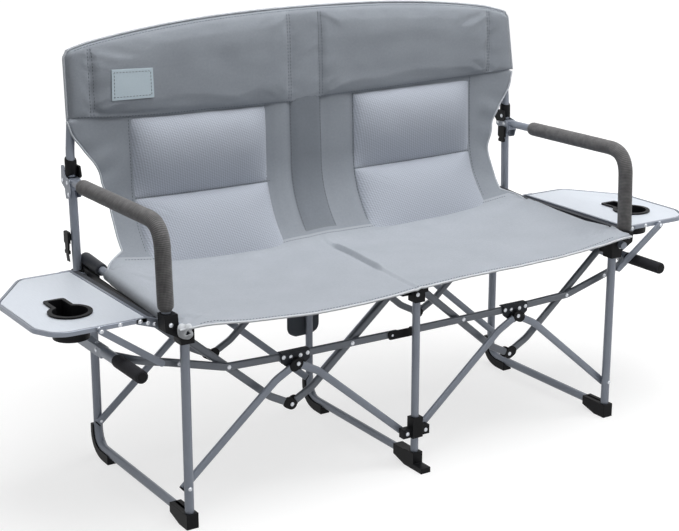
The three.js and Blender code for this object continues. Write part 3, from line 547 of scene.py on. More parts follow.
# A domed head on a thin washer at each place, turned the way that the place faces.
def makeRivetTree():
    tree, given = newTree("rivetHeads", (("Radius", "Float"), ("Rise", "Float"), ("Finish", "Material")))
    radius = given["Radius"]
    size = {"Vertices": 20, "Radius": radius, "Depth": 0.001}
    washer = addNode(tree, "GeometryNodeMeshCylinder", size, "Mesh")
    ball = addNode(tree, "GeometryNodeMeshUVSphere", {"Segments": 20, "Rings": 10, "Radius": radius}, "Mesh")
    flat = addNode(tree, "ShaderNodeCombineXYZ", {"X": 0.8, "Y": 0.8, "Z": given["Rise"]})
    dome = addNode(tree, "GeometryNodeTransform", {"Geometry": ball, "Scale": flat})
    smoothDome = addNode(tree, "GeometryNodeSetShadeSmooth", {"Geometry": dome})
    flatWasher = addNode(tree, "GeometryNodeSetShadeSmooth", {"Geometry": washer, "Shade Smooth": False})
    head = addNode(tree, "GeometryNodeJoinGeometry", {"Geometry": [flatWasher, smoothDome]})
    facing = addNode(tree, "GeometryNodeInputNamedAttribute", {"Name": "facing"}, data_type="FLOAT_VECTOR")
    turn = addNode(tree, "FunctionNodeAlignRotationToVector", {"Vector": facing}, axis="Z")
    inputs = {"Points": given["Geometry"], "Instance": head, "Rotation": turn}
    return closeTree(tree, addNode(tree, "GeometryNodeInstanceOnPoints", inputs), given["Finish"])


# Short lengths of thread at an even pitch along each line.
def makeStitchTree():
    sockets = (("Pitch", "Float"), ("Length", "Float"), ("Thickness", "Float"), ("Finish", "Material"))
    tree, given = newTree("stitchRow", sockets)
    line = addNode(tree, "GeometryNodeMeshToCurve", {"Mesh": given["Geometry"]})
    spots = addNode(tree, "GeometryNodeCurveToPoints", {"Curve": line, "Length": given["Pitch"]}, "Points",
                    mode="LENGTH")
    bead = addNode(tree, "GeometryNodeMeshUVSphere", {"Segments": 6, "Rings": 4, "Radius": 0.5}, "Mesh")
    thick, long = given["Thickness"], given["Length"]
    size = addNode(tree, "ShaderNodeCombineXYZ", {"X": thick, "Y": thick, "Z": long})
    stitch = addNode(tree, "GeometryNodeTransform", {"Geometry": bead, "Scale": size})
    inputs = {"Points": spots, "Instance": stitch, "Rotation": spots.node.outputs["Rotation"]}
    return closeTree(tree, addNode(tree, "GeometryNodeInstanceOnPoints", inputs), given["Finish"])


def grown(name, points, edges, tree, values, facing=None):
    mesh = bpy.data.meshes.new(name)
    mesh.from_pydata([metres(p) for p in points], edges, [])
    if facing:
        data = mesh.attributes.new("facing", "FLOAT_VECTOR", "POINT").data
        for item, way in zip(data, facing):
            item.vector = way
    piece = placed(name, mesh)
    grow = piece.modifiers.new("grow", "NODES")
    grow.node_group = tree
    for item in tree.interface.items_tree:
        if item.in_out == "INPUT" and item.name in values:
            grow[item.identifier] = values[item.name]
    bake(piece)
    return piece


rivetTree = makeRivetTree()
stitchTree = makeStitchTree()


# Frame tubes

legSize = {"spread": 575, "depth": 228, "radius": 10, "centre": 9, "rail": 24, "railFront": -215, "bend": 42,
           "start": 9, "pinZ": 88, "pinY": 207, "pin": 4}
postSize = {"x": 607, "foot": 462, "top": 644, "upper": 666, "hinge": 655, "lugY": 249.24, "lug": 9,
            "pin": 3.5}
railSize = {"x": 586, "front": -256, "rear": 211, "radius": 9}


def postY(z):
    return legSize["depth"] + (z - postSize["foot"]) * 0.0375


def railZ(y):
    return 441 + (y + 262) * 0.073


def rearTube(x, radius, top):
    corners = [(x, legSize["railFront"], legSize["rail"]), (x, legSize["depth"], legSize["rail"])]
    return sweepShape(roundedPath(corners + top, legSize["bend"], 12), circle(radius), (1, 0, 0))


# A rear shoe: a saddle along the outside of the bend, thickest where it stands on the ground.
def saddleShape(x):
    depth, rail = legSize["depth"], legSize["rail"]
    bend = roundedPath([(x, depth, 76), (x, depth, rail), (x, depth - 74, rail)], legSize["bend"], 12)
    inside, outside = [], []
    for i, spot in enumerate(bend):
        way = (bend[min(i + 1, len(bend) - 1)] - bend[max(i - 1, 0)]).normalized()
        out = Vector((0, -way.z, way.y))
        inside.append(spot + out * 1.5)
        outside.append(spot + out * mix(14, rail, i / (len(bend) - 1)))
    outline = [(p.y, max(p.z, 0)) for p in inside + outside[::-1]]
    return plateShape(outline, "x", x - 13, x + 13)


# The lug carries the pin on which the back folds; the upper post's own lug turns on it.
def lowerLug(x):
    y, z = postSize["lugY"], postSize["hinge"]
    eye = rodShape((x - 10, y, z), (x - 4, y, z), postSize["lug"])
    neck = boxShape((x - 10, x - 4), (y - 12, y + 3), (z - 36, z))
    return [eye, neck, rodShape((x - 12, y, z), (x + 6, y, z), postSize["pin"])]


def upperLug(x):
    y, z = postSize["lugY"], postSize["hinge"]
    eye = rodShape((x - 3.5, y, z), (x + 4, y, z), postSize["lug"])
    return [eye, boxShape((x - 3.5, x + 4), (y - 12, y + 3), (z, z + 36))]


# A black moulded cuff, slanting at its lower end, on the foot of an upper post.
def postCuff(x, radius):
    sides = 28
    section = circle(radius + 3.4, sides)
    rings = []
    for z in (665, 667, 703, 706):
        slant = 6 if z < 680 else -3
        grow = 1 if 666 < z < 705 else 0.93
        rings.append([(x + a * grow, postY(z) + b * grow, z - slant * b / radius) for a, b in section])
    points, faces, _ = gridShape([ring + ring[:1] for ring in rings])
    last = len(points) - sides - 1
    return points, faces + [tuple(range(sides)), tuple(range(last + sides - 1, last - 1, -1))], None


def buildCentreFrame():
    body, depth, radius = "centre_frame", legSize["depth"], legSize["centre"]
    front = rodShape((0, -depth, legSize["start"]), (0, -depth, 418), radius)
    addPiece("centreFrontTube", [(front, paint)], body, ["centre_front_leg"])
    top, upper = postSize["top"], postSize["upper"]
    rear = rearTube(0, radius, [(0, depth, 440), (0, postY(top), top)])
    shapes = [(s, paint) for s in [rear, *lowerLug(0)]]
    addPiece("centreRearTube", shapes, body, ["centre_rear_leg"], 0.6)
    post = rodShape((0, postY(upper), upper), (0, postY(967), 967), radius)
    shapes = [(s, paint) for s in [post, *upperLug(0)]] + [(postCuff(0, radius), nylon)]
    addPiece("centrePost", shapes, "centre_back", ["centre_back_post"], 0.6)
    for name, node in (("centreCollar", "centre_collar"), ("centreSeatBeam", "centre_seat_rail")):
        refined(name, [node], body, nylon, 1.4)
    refined("centreFrontShoe", ["centre_front_foot"], body, nylon, 1.4, 40)
    addPiece("centreRearShoe", [(saddleShape(0), nylon)], body, ["centre_rear_foot"], 1.4)


# Arms of bent tube; the foam starts higher and ends further back on the left one, as photographed.
armSize = {"x": 613, "foot": 456, "footY": -226, "lean": 0.044, "top": 661, "bend": 58, "tube": 9.3,
           "foam": 17, "end": (611, 222.04, 655)}
foamEnds = {"right": (11, 86), "left": (26, 48)}


def armPath(bareFoot, bareEnd):
    x, rise = armSize["x"], armSize["top"] - armSize["foot"]
    foot = (x, armSize["footY"] + bareFoot * armSize["lean"], armSize["foot"] + bareFoot)
    corner = Vector((x, armSize["footY"] + rise * armSize["lean"], armSize["top"]))
    end = Vector(armSize["end"])
    end += (corner - end).normalized() * bareEnd
    return resampled(roundedPath([foot, corner, end], armSize["bend"], 14), 6)


# The foam draws in at its two ends, where the sleeve is turned under, and is never quite even between.
def foamScales(path):
    run = [0.0]
    for a, b in zip(path, path[1:]):
        run.append(run[-1] + (b - a).length)
    ends = [1 - 0.34 * (1 - min(min(d, run[-1] - d) / 11, 1)) ** 2 for d in run]
    return [e * (1 + 0.02 * noiseAt(Vector((d / 45, 3.1, 0)))) for e, d in zip(ends, run)]


# Two riveted steel cheeks that hold the end of the arm, the upright and the pin of the fold together.
def hingeCheeks(x):
    foot = [(208, 640), (214, 622), (236, 616), (240, 640), (258, 650)]
    short = roundedOutline(foot + [(256, 664), (238, 666), (212, 663)], 6, 5)
    tall = roundedOutline(foot + [(256, 690), (240, 692), (236, 668), (212, 663)], 6, 5)
    return [plateShape(short, "x", x - 12, x - 9.6), plateShape(tall, "x", x + 13.4, x + 15.8)]


# Behind, the rail ends in a moulded socket over a riveted bracket that holds the leg and the upright.
def rearBracketShapes():
    block = [(560, 410), (590, 410), (592, 425), (616, 432), (617, 452), (598, 456), (594, 474), (574, 474),
             (560, 460)]
    plate = [(214, 412), (214, 464), (196, 462), (172, 452), (158, 440), (160, 431), (190, 426)]
    path = [(railSize["x"], y, railZ(y)) for y in (140, 142, 226, 232)]
    socket = sweepShape(path, circle(14, 32), (1, 0, 0), [0.86, 1, 1, 0.9])
    shapes = [plateShape(roundedOutline(block, 4), "y", 213, 243),
              plateShape(roundedOutline(plate, 4), "x", 594, 600),
              rodShape((575, 213, 422), (575, 190.6, 422), 7.5)]
    return [(s, nylon) for s in shapes] + [(socket, greyNylon)]


# The upper post with its lug, its cuff and the moulded housing beside the hinge.
def sidePostShapes(x, radius):
    upper = postSize["upper"]
    stand = [(x, postY(upper), upper), (x, postY(720), 720), (x - 18, postY(916), 916)]
    post = sweepShape(roundedPath(stand, 300), circle(radius), (1, 0, 0))
    housing = roundedOutline([(216, 668), (224, 662), (250, 660), (257, 668), (256, 690), (222, 690)], 4)
    moulded = [postCuff(x, radius), plateShape(housing, "x", x - 17, x - 12.4),
               boxShape((x - 14, x), (230, 252), (672, 686))]
    return [(s, paint) for s in [post, *upperLug(x)]] + [(s, nylon) for s in moulded]


def buildSideFrame(word, side):
    part, body = "side_frame", word + "_side_frame"
    spread, depth, radius = legSize["spread"], legSize["depth"], legSize["radius"]
    pinY, pinZ = legSize["pinY"], legSize["pinZ"]
    front = rodShape((spread, -depth, legSize["start"]), (spread, -depth, 428), radius)
    pin = rodShape((spread, -depth, pinZ), (spread, -pinY, pinZ), legSize["pin"])
    addSided(word, "FrontTube", [(front, paint), (pin, zinc)], part, "front_leg")
    rear = rearTube(spread, radius, [(spread, depth, 452)])
    pin = rodShape((spread, depth, pinZ), (spread, pinY, pinZ), legSize["pin"])
    addSided(word, "RearTube", [(rear, paint), (pin, zinc)], part, "rear_leg")
    rail = rodShape(*((railSize["x"], railSize[end], railZ(railSize[end])) for end in ("front", "rear")),
                    railSize["radius"])
    addSided(word, "SeatTube", [(rail, paint)], part, "seat_rail")
    x, low, high = postSize["x"], postSize["foot"] - 30, postSize["top"]
    upright = rodShape((x, postY(low), low), (x, postY(high), high), radius)
    block = boxShape((x - 9.4, x + 13.2), (207.5, 231), (640, 663))
    shapes = [(s, paint) for s in [upright, *lowerLug(x), *hingeCheeks(x), block]]
    addSided(word, "Upright", shapes, part, "upright", 0.7)
    tube = sweepShape(armPath(0, 0), circle(armSize["tube"]), (1, 0, 0))
    path = armPath(*foamEnds[word])
    foam = sweepShape(path, circle(armSize["foam"], 40), (1, 0, 0), foamScales(path))
    addSided(word, "Arm", [(tube, paint), (foam, sleeveKnit)], part, "armrest", 0)
    refined(word + "FrontShoe", [word + "_front_foot"], body, nylon, 1.4, 34)
    addSided(word, "RearShoe", [(saddleShape(spread), nylon)], part, "rear_foot", 1.4)
    bracketTop = 468 if side > 0 else None
    refined(word + "FrontBracket", [word + "_front_bracket"], body, nylon, 1.4, bracketTop)
    addSided(word, "RearBracket", rearBracketShapes(), part, "rear_bracket", 1.0)
    addSided(word, "Post", sidePostShapes(x, radius), "back", "back_post", 0.6)
    path = [(601, 200, 456), (601, 150, 453), (601, -180, 437), (601, -214, 435)]
    brace = sweepShape(path, flatOval(1.8, 8), (1, 0, 0))
    addSided(word, "SideBrace", [(brace, nylon)], part, None, 0.5)


# A side-release buckle on a short strap at each upright, which keeps the folded frame shut. The right one is
# closed and turned inward; the left one is open and has a strap end hanging from it.
buckleSize = {"right": (218, 634), "left": (231, 528), "strap": 16, "shut": {"right": 12, "left": 0}}


def buildBuckle(word, side):
    y, z = buckleSize[word]
    half, prongZ = buckleSize["strap"] / 2, z - 30 + buckleSize["shut"][word]
    shapes = [(boxShape((608, 621), (y + 5, y + 8), (z - half, z + half)), webbing)]
    if side < 0:
        tail = [Vector((623, y + 9, z - 24)), Vector((623.5, y + 9, z - 40)), Vector((622, y + 8, z - 56))]
        section = [(-0.9, half), (0.9, half), (0.9, -half), (-0.9, -half)]
        shapes.append((sweepShape(resampled(tail, 6), section, (1, 0, 0)), webbing))
    shell = [(y - 3, z - 14), (y + 21, z - 14), (y + 21, z + 14), (y - 3, z + 14)]
    prong = [(y + 1, prongZ), (y + 17, prongZ), (y + 19, z - 12), (y - 1, z - 12)]
    bar = [(y - 2, prongZ - 8), (y + 20, prongZ - 8), (y + 20, prongZ + 1), (y - 2, prongZ + 1)]
    for outline, bend, low, high in ((shell, 4, 619.5, 626.5), (prong, 3, 621, 625.5), (bar, 3, 620, 626)):
        shapes.append((plateShape(roundedOutline(outline, bend), "x", low, high), nylon))
    if side > 0:
        turned = 2 * postSize["x"]
        shapes = [(([(turned - p[0], p[1], p[2]) for p in s[0]], *s[1:]), m) for s, m in shapes]
    addSided(word, "Buckle", shapes, "side_frame")


# Links of flattened tube that curve into a black riveted knuckle, with a black plug past the fixed pivot.
linkSize = {"halfWidth": 8.5, "end": 11, "kneeRun": 53, "kneeRise": 28, "bend": 82, "knuckle": 12.5}
linkLayers = {"upper": (-190.3, -178.3), "lower": (-217.5, -207)}
linkPivots = {"inner": 25, "outer": 575}
linkHeights = {"upper": (422, 204), "lower": (88, 306)}


def capsule(a, b, radius):
    turns = 10
    way = math.atan2(b[1] - a[1], b[0] - a[0])
    outline = []
    for centre, start in ((a, way + math.pi / 2), (b, way - math.pi / 2)):
        for k in range(turns + 1):
            angle = start + math.pi * k / turns
            outline.append((centre[0] + radius * math.cos(angle), centre[1] + radius * math.sin(angle)))
    return outline


def linkShapes(level, part):
    front, rear = linkLayers[level]
    fixedZ, jointZ = linkHeights[level]
    fixed, joint = (linkPivots[part], fixedZ), (300, jointZ)
    turn = 1 if fixed[0] > joint[0] else -1
    rise = 1 if fixed[1] > joint[1] else -1
    middle, half = (front + rear) / 2, (rear - front) / 2

    def toward(share):
        return (joint[0] + turn * linkSize["kneeRun"] * share, joint[1] + rise * linkSize["kneeRise"] * share)

    knee = toward(1)
    way = Vector((fixed[0] - knee[0], fixed[1] - knee[1])).normalized()

    def past(reach):
        return (fixed[0] + way.x * reach, fixed[1] + way.y * reach)

    def lifted(spots):
        return [(p[0], middle, p[1]) for p in spots]

    path = roundedPath(lifted([past(linkSize["end"] - 3), knee, toward(0.2)]), linkSize["bend"], 16)
    arm = sweepShape(path, flatOval(half, linkSize["halfWidth"]), (0, 1, 0))
    plugPath = lifted([past(linkSize["end"] - 3.2), past(linkSize["end"])])
    plug = sweepShape(plugPath, flatOval(half - 0.3, linkSize["halfWidth"] - 0.4), (0, 1, 0))
    depths = (front - 0.3, middle - 0.2) if part == "outer" else (middle + 0.2, rear + 0.3)
    eye = plateShape(capsule(joint, toward(0.16), linkSize["knuckle"]), "y", *depths)
    # The upper links take the darker copy of the coat, which is painted shade.
    return [(arm, paint if level == "lower" else shadedPaint), (plug, nylon), (eye, nylon)]


def buildLinks(word):
    for level in ("upper", "lower"):
        for part in ("inner", "outer"):
            for row in ("front", "rear"):
                shapes = linkShapes(level, part)
                if row == "rear":
                    shapes = [(flippedShape(shape, 1), material) for shape, material in shapes]
                name = row.title() + level.title() + part.title() + "Link"
                node = f"{row}_{level}_{part}_link"
                addSided(word, name, shapes, f"{level}_{part}_links", node, 0.7)


# Spreader bars, the channel that joins them and the carrying handle.
barSize = {"y": -196.8, "z": 320, "halfDepth": 6, "handleX": 693, "handleZ": 372, "grip": 14,
           "gripFront": -274, "plate": (-206.5, -203.3), "innerEnd": {"right": 8, "left": 34}}


def buildBars(word, side):
    y, z = barSize["y"], barSize["z"]
    x, high = barSize["handleX"], barSize["handleZ"]
    section = flatOval(barSize["halfDepth"], linkSize["halfWidth"])
    corners = [(305, y, z), (465, y, z + 5), (600, y, high - 10), (655, y + 16, high - 1), (x, -116, high)]
    bar = sweepShape(roundedPath(corners, 60, 10), section, (0, 1, 0))
    path = [(x, spot, high) for spot in (-262, -161, -160, -98, -97, 70)]
    handle = sweepShape(path, circle(9, 32), (1, 0, 0), [1, 1, 1.3, 1.3, 1, 1])
    channel = boxShape((x - 9.6, x + 9.6), (-98, 40), (high - 13, high + 9.4))
    # The outer bar takes the darker copy of the coat, which is painted shade.
    shapes = [(bar, shadedPaint), (handle, paint), (channel, paint)]
    addSided(word, "OuterBar", shapes, "outer_bar", "outer_spreader_bar", 1.2)
    front = barSize["gripFront"]
    path = [Vector((x, front + d, high)) for d in (0, 1.5, 4, 8, 20, 60, 108, 112, 116)]
    grows = [0.9, 0.97, 1, 1, 1, 1, 1, 0.97, 0.9]
    grip = sweepShape(path, circle(barSize["grip"], 40), (1, 0, 0), grows)
    cap = rodShape((x, front - 0.4, high), (x, front + 2, high), 9.4)
    addSided(word, "Grip", [(grip, gripFoam), (cap, nylon)], "outer_bar", "handle_grip", 0)
    end = barSize["innerEnd"][word]
    inner = sweepShape([(295, y, z), (end, y, z - 1)], section, (0, 1, 0))
    plug = sweepShape([(end + 3, y, z - 1), (end - 3, y, z - 1)], flatOval(5.6, 8.1), (0, 1, 0))
    # The inner bar also takes the darker copy of the coat: painted shade.
    shapes = [(inner, shadedPaint), (plug, nylon)]
    if side < 0:
        plate = roundedOutline([(-20, 309), (58, 309), (58, 329), (-20, 329)], 6)
        stud = rodShape((48, -205, z - 1), (48, -193, z - 1), 3.2)
        shapes += [(plateShape(plate, "y", *barSize["plate"]), nylon), (stud, zinc)]
    addSided(word, "InnerBar", shapes, "inner_bar", "inner_spreader_bar", 0.7)
    wing = [(286, 293), (314, 293), (336, 310), (336, 331), (264, 331), (264, 310)]
    plate = plateShape(roundedOutline(wing, 5), "y", *barSize["plate"])
    roof = boxShape((264.5, 335.5), (-206, -189.5), (329.2, 331.6))
    pins = [rodShape((px, -206, z), (px, -190.8, z), 3.2) for px in (288, 312)]
    pins.append(rodShape((300, -218.5, 306), (300, -203.3, 306), 4))
    shapes = [(s, greyNylon) for s in (plate, roof)] + [(s, zinc) for s in pins]
    addSided(word, "BarChannel", shapes, "sleeve", "bar_hinge_sleeve", 0.6)


# Side tables: a pale coated board in an aluminium rim, with a moulded cup holder let into it.
tableSize = {"inner": 640, "outer": 866, "front": -203.3, "rear": 185, "top": 468, "round": 38,
             "board": (460, 467.4), "seam": 7.5, "band": 463}
cupSize = {"x": 761, "y": -89.8, "radius": 37, "depth": 50, "wall": 3, "lip": 9, "half": 16, "length": 82,
           "slot": 33}


def tableOutline(inset):
    inner, outer, front, rear = (tableSize[key] for key in ("inner", "outer", "front", "rear"))
    corners = [(inner, front), (outer - 50, front), (outer - 22, front + 14.5), (outer, front + 58),
               (outer, 48), (outer - 100, rear), (inner, rear)]
    corners = [Vector(corner) for corner in corners]
    middle = Vector((745, -20))
    outline = []
    for i, corner in enumerate(corners):
        before = (corners[i - 1] - corner).normalized()
        after = (corners[(i + 1) % len(corners)] - corner).normalized()
        inward = (before + after).normalized()
        if inward.dot(middle - corner) < 0:
            inward = -inward
        reach = inset / math.sin(before.angle(after) / 2)
        outline.append(corner + inward * reach)
    rounds = [5, *[tableSize["round"]] * (len(corners) - 2), 5]
    return roundedOutline(outline, [max(r - inset, 1.5) for r in rounds], 8)


def subtract(piece, cutter):
    tool = piece.modifiers.new("cut", "BOOLEAN")
    tool.operation = "DIFFERENCE"
    tool.solver = "EXACT"
    tool.use_self = True
    tool.object = cutter
    bake(piece)
    bpy.data.objects.remove(cutter)


# The outline of the slot beside the bowl, which lets a mug's handle in.
def cupSlot(half, length, bend):
    x, low = cupSize["x"], cupSize["y"]
    high = low + length
    return roundedOutline([(x - half, low), (x + half, low), (x + half, high), (x - half, high)], bend)


def cupShapes(grow, top, floor, slotFloor):
    x, y, radius = cupSize["x"], cupSize["y"], cupSize["radius"] + grow
    taper = [(radius - 2) / radius, 1]
    bowl = sweepShape([(x, y, floor), (x, y, top)], circle(radius, 64), (1, 0, 0), taper)
    outline = cupSlot(cupSize["half"] + grow, cupSize["length"] + grow, 5)
    return [bowl, plateShape(outline, "z", slotFloor, top)]


def buildTable(word, side):
    body = word + "_table"
    t, c = tableSize, cupSize
    top, front = t["top"], t["front"]

    def turned(name, shapes, material):
        return makePiece(name, [(mirroredShape(s, side), material) for s in shapes])

    board = turned(word + "TableBoard", [plateShape(tableOutline(t["seam"]), "z", *t["board"])], tableCoat)
    subtract(board, turned("cupCutter", cupShapes(c["wall"] + 0.6, top + 3, 440, 440), tableCoat))
    edged(board, 0.7)
    settle(board, body, [word + "_side_table"])
    band = [Vector((x, y, t["band"])) for x, y in tableOutline(0)]
    section = [(-5, -0.8), (-4.2, 0), (4.2, 0), (5, -0.8), (5, -5.6), (4.4, -6.2), (1.6, -6.2), (1.6, -9),
               (-3, -9), (-3, -4), (-5, -4)]
    shapes = [(sweepShape(band, section, (0, 0, 1), closed=True), tableRim)]
    lug = roundedOutline([(612, 438), (668, 457), (668, 467.5), (640, 467.5), (606, 455)], 3)
    for low, high in ((front, front + 6), (183.5, 189.5)):
        shapes.append((plateShape(lug, "y", low, high), paint))
        shapes.append((rodShape((612, low, 447), (612, high, 447), 9), paint))
    shapes.append((boxShape((624, 639.6), (front + 8, 184), (455.5, 464.6)), greyNylon))
    shapes.append((rodShape((747, -211, 459), (747, -203, 459), 4), zinc))
    addSided(word, "TableRim", shapes, "table", None, 0.4)

    low, high = top + 0.3, top + 3.3
    flange = [rodShape((c["x"], c["y"], low), (c["x"], c["y"], high), c["radius"] + c["lip"], 64),
              plateShape(cupSlot(c["half"] + c["lip"] - 1, c["length"] + 8, 9), "z", low, high)]
    floor, slotFloor = top - c["depth"], top - c["slot"]
    shell = cupShapes(c["wall"], top + 1.5, floor - 3, slotFloor - 3)
    cup = turned(word + "CupHolder", flange + shell, nylon)
    subtract(cup, turned("cupCore", cupShapes(0, top + 9, floor, slotFloor), nylon))
    edged(cup, 1.0)
    settle(cup, body, [word + "_cup_holder"])
    refined(word + "TableStrut", [word + "_table_strut"], word + "_strut", paint, 0.8)


# Rivets by body: place and facing on the right side, mirrored to the left.
forward, backward, outward, inward, upward = (0, -1, 0), (0, 1, 0), (1, 0, 0), (-1, 0, 0), (0, 0, 1)
sideRivets = {
    "side_frame": [((582, 212.8, 435), forward), ((612, -244.3, 457), forward), ((585, -244.3, 436), forward),
                   ((577, -238.2, 90), forward), ((595, 220, 630), inward), ((595, 225, 655), inward),
                   ((622.8, 220, 630), outward), ((622.8, 225, 655), outward), ((595, 249.24, 657), inward),
                   ((622.8, 249.24, 657), outward), ((600.2, 205, 447), outward),
                   ((600.2, 174, 441), outward)],
    "back": [((590, 229, 676), inward)],
    "table": [((749, -203.6, 463), forward), ((703.5, -203.6, 463), forward), ((660, -203.6, 462), forward),
              ((643, -203.6, 456), forward), ((628.5, -203.6, 452), forward), ((747, -211, 459), forward)],
    "sleeve": [((270, -206.6, 322), forward), ((288, -206.6, 320), forward), ((312, -206.6, 320), forward),
               ((330, -206.6, 322), forward), ((300, -218.6, 306), forward)],
    "outer_bar": [((460, -202.9, 325), forward), ((576, -202.9, 355.5), forward),
                  ((702.7, -75, 372), outward), ((702.7, 16, 372), outward), ((693, -60, 381.5), upward),
                  ((693, 10, 381.5), upward)],
    "inner_bar": [((152, -202.9, 319.6), forward)],
    "upper_outer_links": [((575, -190.4, 422), forward), ((300, -190.4, 204), forward),
                          ((575, 190.4, 422), backward), ((300, 190.4, 204), backward)],
    "upper_inner_links": [((25, -190.4, 422), forward), ((25, 190.4, 422), backward)],
    "lower_outer_links": [((575, -217.6, 88), forward), ((575, 217.6, 88), backward)],
    "lower_inner_links": [((25, -217.6, 88), forward), ((25, 217.6, 88), backward),
                          ((300, 217.6, 306), backward)],
}
centreRivets = [((-7, -243, 417), forward), ((25, -236.4, 88), forward), ((-25, -236.4, 88), forward)]
plateRivets = [((-48, -205, 319), forward), ((8, -205, 319), forward)]
rivetSize = {"Radius": 0.0046, "Rise": 0.5, "Finish": zinc}


def addRivets(name, heads, side, body):
    points = [(side * p[0], p[1], p[2]) for p, way in heads]
    ways = [(side * way[0], way[1], way[2]) for p, way in heads]
    settle(grown(name, points, [], rivetTree, rivetSize, ways), body)


def buildRivets():
    for word, side in bothSides:
        for part, heads in sideRivets.items():
            addRivets(word + part.title().replace("_", "") + "Rivets", heads, side, word + "_" + part)
    addRivets("centrePlateRivets", plateRivets, 1, "left_inner_bar")
    addRivets("centreRivets", centreRivets, 1, "centre_frame")


buildCentreFrame()
for word, side in bothSides:
    buildSideFrame(word, side)
    buildBuckle(word, side)
    buildLinks(word)
    buildBars(word, side)
    buildTable(word, side)
buildRivets()
print("stage: frame, tables and rivets built")


# Cloth: one sling runs from the front of the seat up the back, where the padded header covers its end.
seatSize = {"front": -262, "rear": 118, "halfWidth": 589, "edge": 590, "rearZ": 456, "rise": 15.4,
            "sagLeft": 16, "sagRight": 6, "wrap": 14.8, "thick": 2.4}
creaseSize = {"x": -24, "shallow": 1.5, "deep": 6, "valley": 5, "ridge": 6, "apart": 10}
cornerFolds = {"height": 2.6, "rays": 15, "reach": 70, "spread": 60}
seatCorners = ((600, -262), (-600, -262), (590, 120), (-590, 120))
backSize = {"waist": 530, "face": 213.24, "lean": 0.03, "header": 623, "headerTop": 1000, "fall": 54,
            "panelTop": 802}
padSize = {"inner": 120, "outer": 470, "seam": 0.72, "low": 0.03, "high": 1.87, "puff": (6, 3.0),
           "columns": 52, "rows": 30}
stripSeams = (-122, -57, 30, 118)
stripRises = (3.0, 4.5, 3.0)
frontEdge = [(-601, 450), (-556, 452), (-488, 446), (-322, 429), (-198, 426), (-95, 431), (-5, 439),
             (80, 442), (206, 444), (382, 446), (504, 456), (604, 462)]
rightLift = [(-266, 1), (-250, 11), (-236, 16), (-205, 17), (-182, 14), (-109, 4), (0, 0)]
hingeZ = postSize["hinge"]


def wave(x, y, sizeX, sizeY, seed):
    return noiseAt(Vector((x / sizeX, y / sizeY, seed)))


def seatZ(x, y):
    w = min(abs(x) / seatSize["edge"], 1)
    back = min((y - seatSize["front"]) / (seatSize["rear"] - seatSize["front"]), 1)
    edge = railZ(y) + seatSize["rise"]
    sag = mix(seatSize["sagLeft"], seatSize["sagRight"], smooth(-60, 60, x)) * 0.5
    rear = mix(seatSize["rearZ"], edge, w ** 3) - sag * math.sin(math.pi * w)
    front = sum(along(frontEdge, x + d) for d in (-36, -18, 0, 18, 36)) / 5
    return mix(front, rear, smooth(-0.25, 1, back))


# The seat cloth with its one crease, its soft waves and the short folds that run out from its corners.
def seatPoint(x, y):
    z = seatZ(x, y)
    away = x - creaseSize["x"]
    deep = creaseSize["shallow"] + creaseSize["deep"] * smooth(-130, -92, y) * smooth(84, 66, y)
    z -= deep * math.exp(-(away / creaseSize["valley"]) ** 2)
    z += deep * math.exp(-((away - creaseSize["apart"]) / creaseSize["ridge"]) ** 2)
    z += 2.2 * wave(x, y, 120, 150, 1) + 1.1 * wave(x + y, x - y, 60, 120, 2)
    for cornerX, cornerY in seatCorners:
        past = math.hypot(x - cornerX, y - cornerY) - cornerFolds["reach"]
        turn = math.atan2(y - cornerY, x - cornerX)
        fade = math.exp(-(past / cornerFolds["spread"]) ** 2)
        z += cornerFolds["height"] * math.sin(turn * cornerFolds["rays"]) * fade
    z += along(rightLift, y) * smooth(490, 585, x)
    return Vector((x, y, z))


# The front of the back above its fold, which leans a little.
def backFace(z):
    return backSize["face"] + (z - hingeZ) * backSize["lean"]


# The back runs from the seat at 0 to its fold at 1 and to the top of the panel at 2.
def backPoint(x, v):
    if v <= 1:
        foot = seatZ(x, seatSize["rear"]) - 1
        y = seatSize["rear"] + 0.5 + (backSize["face"] - seatSize["rear"] - 0.5) * (1 - (1 - v) ** 2.4)
        return Vector((x, y, foot + (hingeZ - foot) * v))
    z = mix(hingeZ, backSize["panelTop"], v - 1)
    tucked = 12 * smooth(788, 806, z) * smooth(575, 611, abs(x))
    return Vector((x, backFace(z) + tucked, z))


# The waist is narrow above the seat; above the fold two wings widen to the header and draw in behind it.
def backHalfWidth(v):
    if v <= 1:
        return backSize["waist"] + 57 * smooth(0.17, 0, v) + 15 * smooth(0.7, 1, v)
    z = mix(hingeZ, backSize["panelTop"], v - 1)
    return 545 + 59 * smooth(hingeZ, 774, z) + 7 * smooth(770, 800, z) - 24 * smooth(793, 802, z)


def backNormal(x, v):
    way = backPoint(x, v + 0.01) - backPoint(x, v - 0.01)
    return Vector((1, 0, 0)).cross(way).normalized()


# Three sewn bands between the pads, each a little full, and soft creases beside the waist.
def backDetail(x, v):
    lift = 0
    for low, high, rise in zip(stripSeams, stripSeams[1:], stripRises):
        if low < x < high:
            lift += rise * (1 - abs((2 * x - low - high) / (high - low)) ** 3)
    for seam in stripSeams:
        lift -= 2.4 * math.exp(-((x - seam) / 3.5) ** 2)
    lift *= smooth(0.05, 0.24, v)
    lift += 1.5 * wave(x, v * 200, 70, 90, 3) * smooth(0, 0.3, v)
    a = abs(x)
    waist = smooth(padSize["outer"], 545, a) * smooth(0.1, 0.5, v) * smooth(1.9, 1.2, v)
    lift += 1.6 * waist * math.sin(v * 14 + a / 26)
    return lift


# Even columns, moved onto the seams, with close ones at the crease and as many again out to each side.
columnSwaps = {-60: -57, -120: -122, 36: 30, 120: 118}
creaseColumns = [-32, -28, -21, -17, -14, -8, -4]
innerColumns = sorted([columnSwaps.get(12 * k, 12 * k) for k in range(-40, 41)] + creaseColumns)
innerHalf, edgeSteps = 480, 14


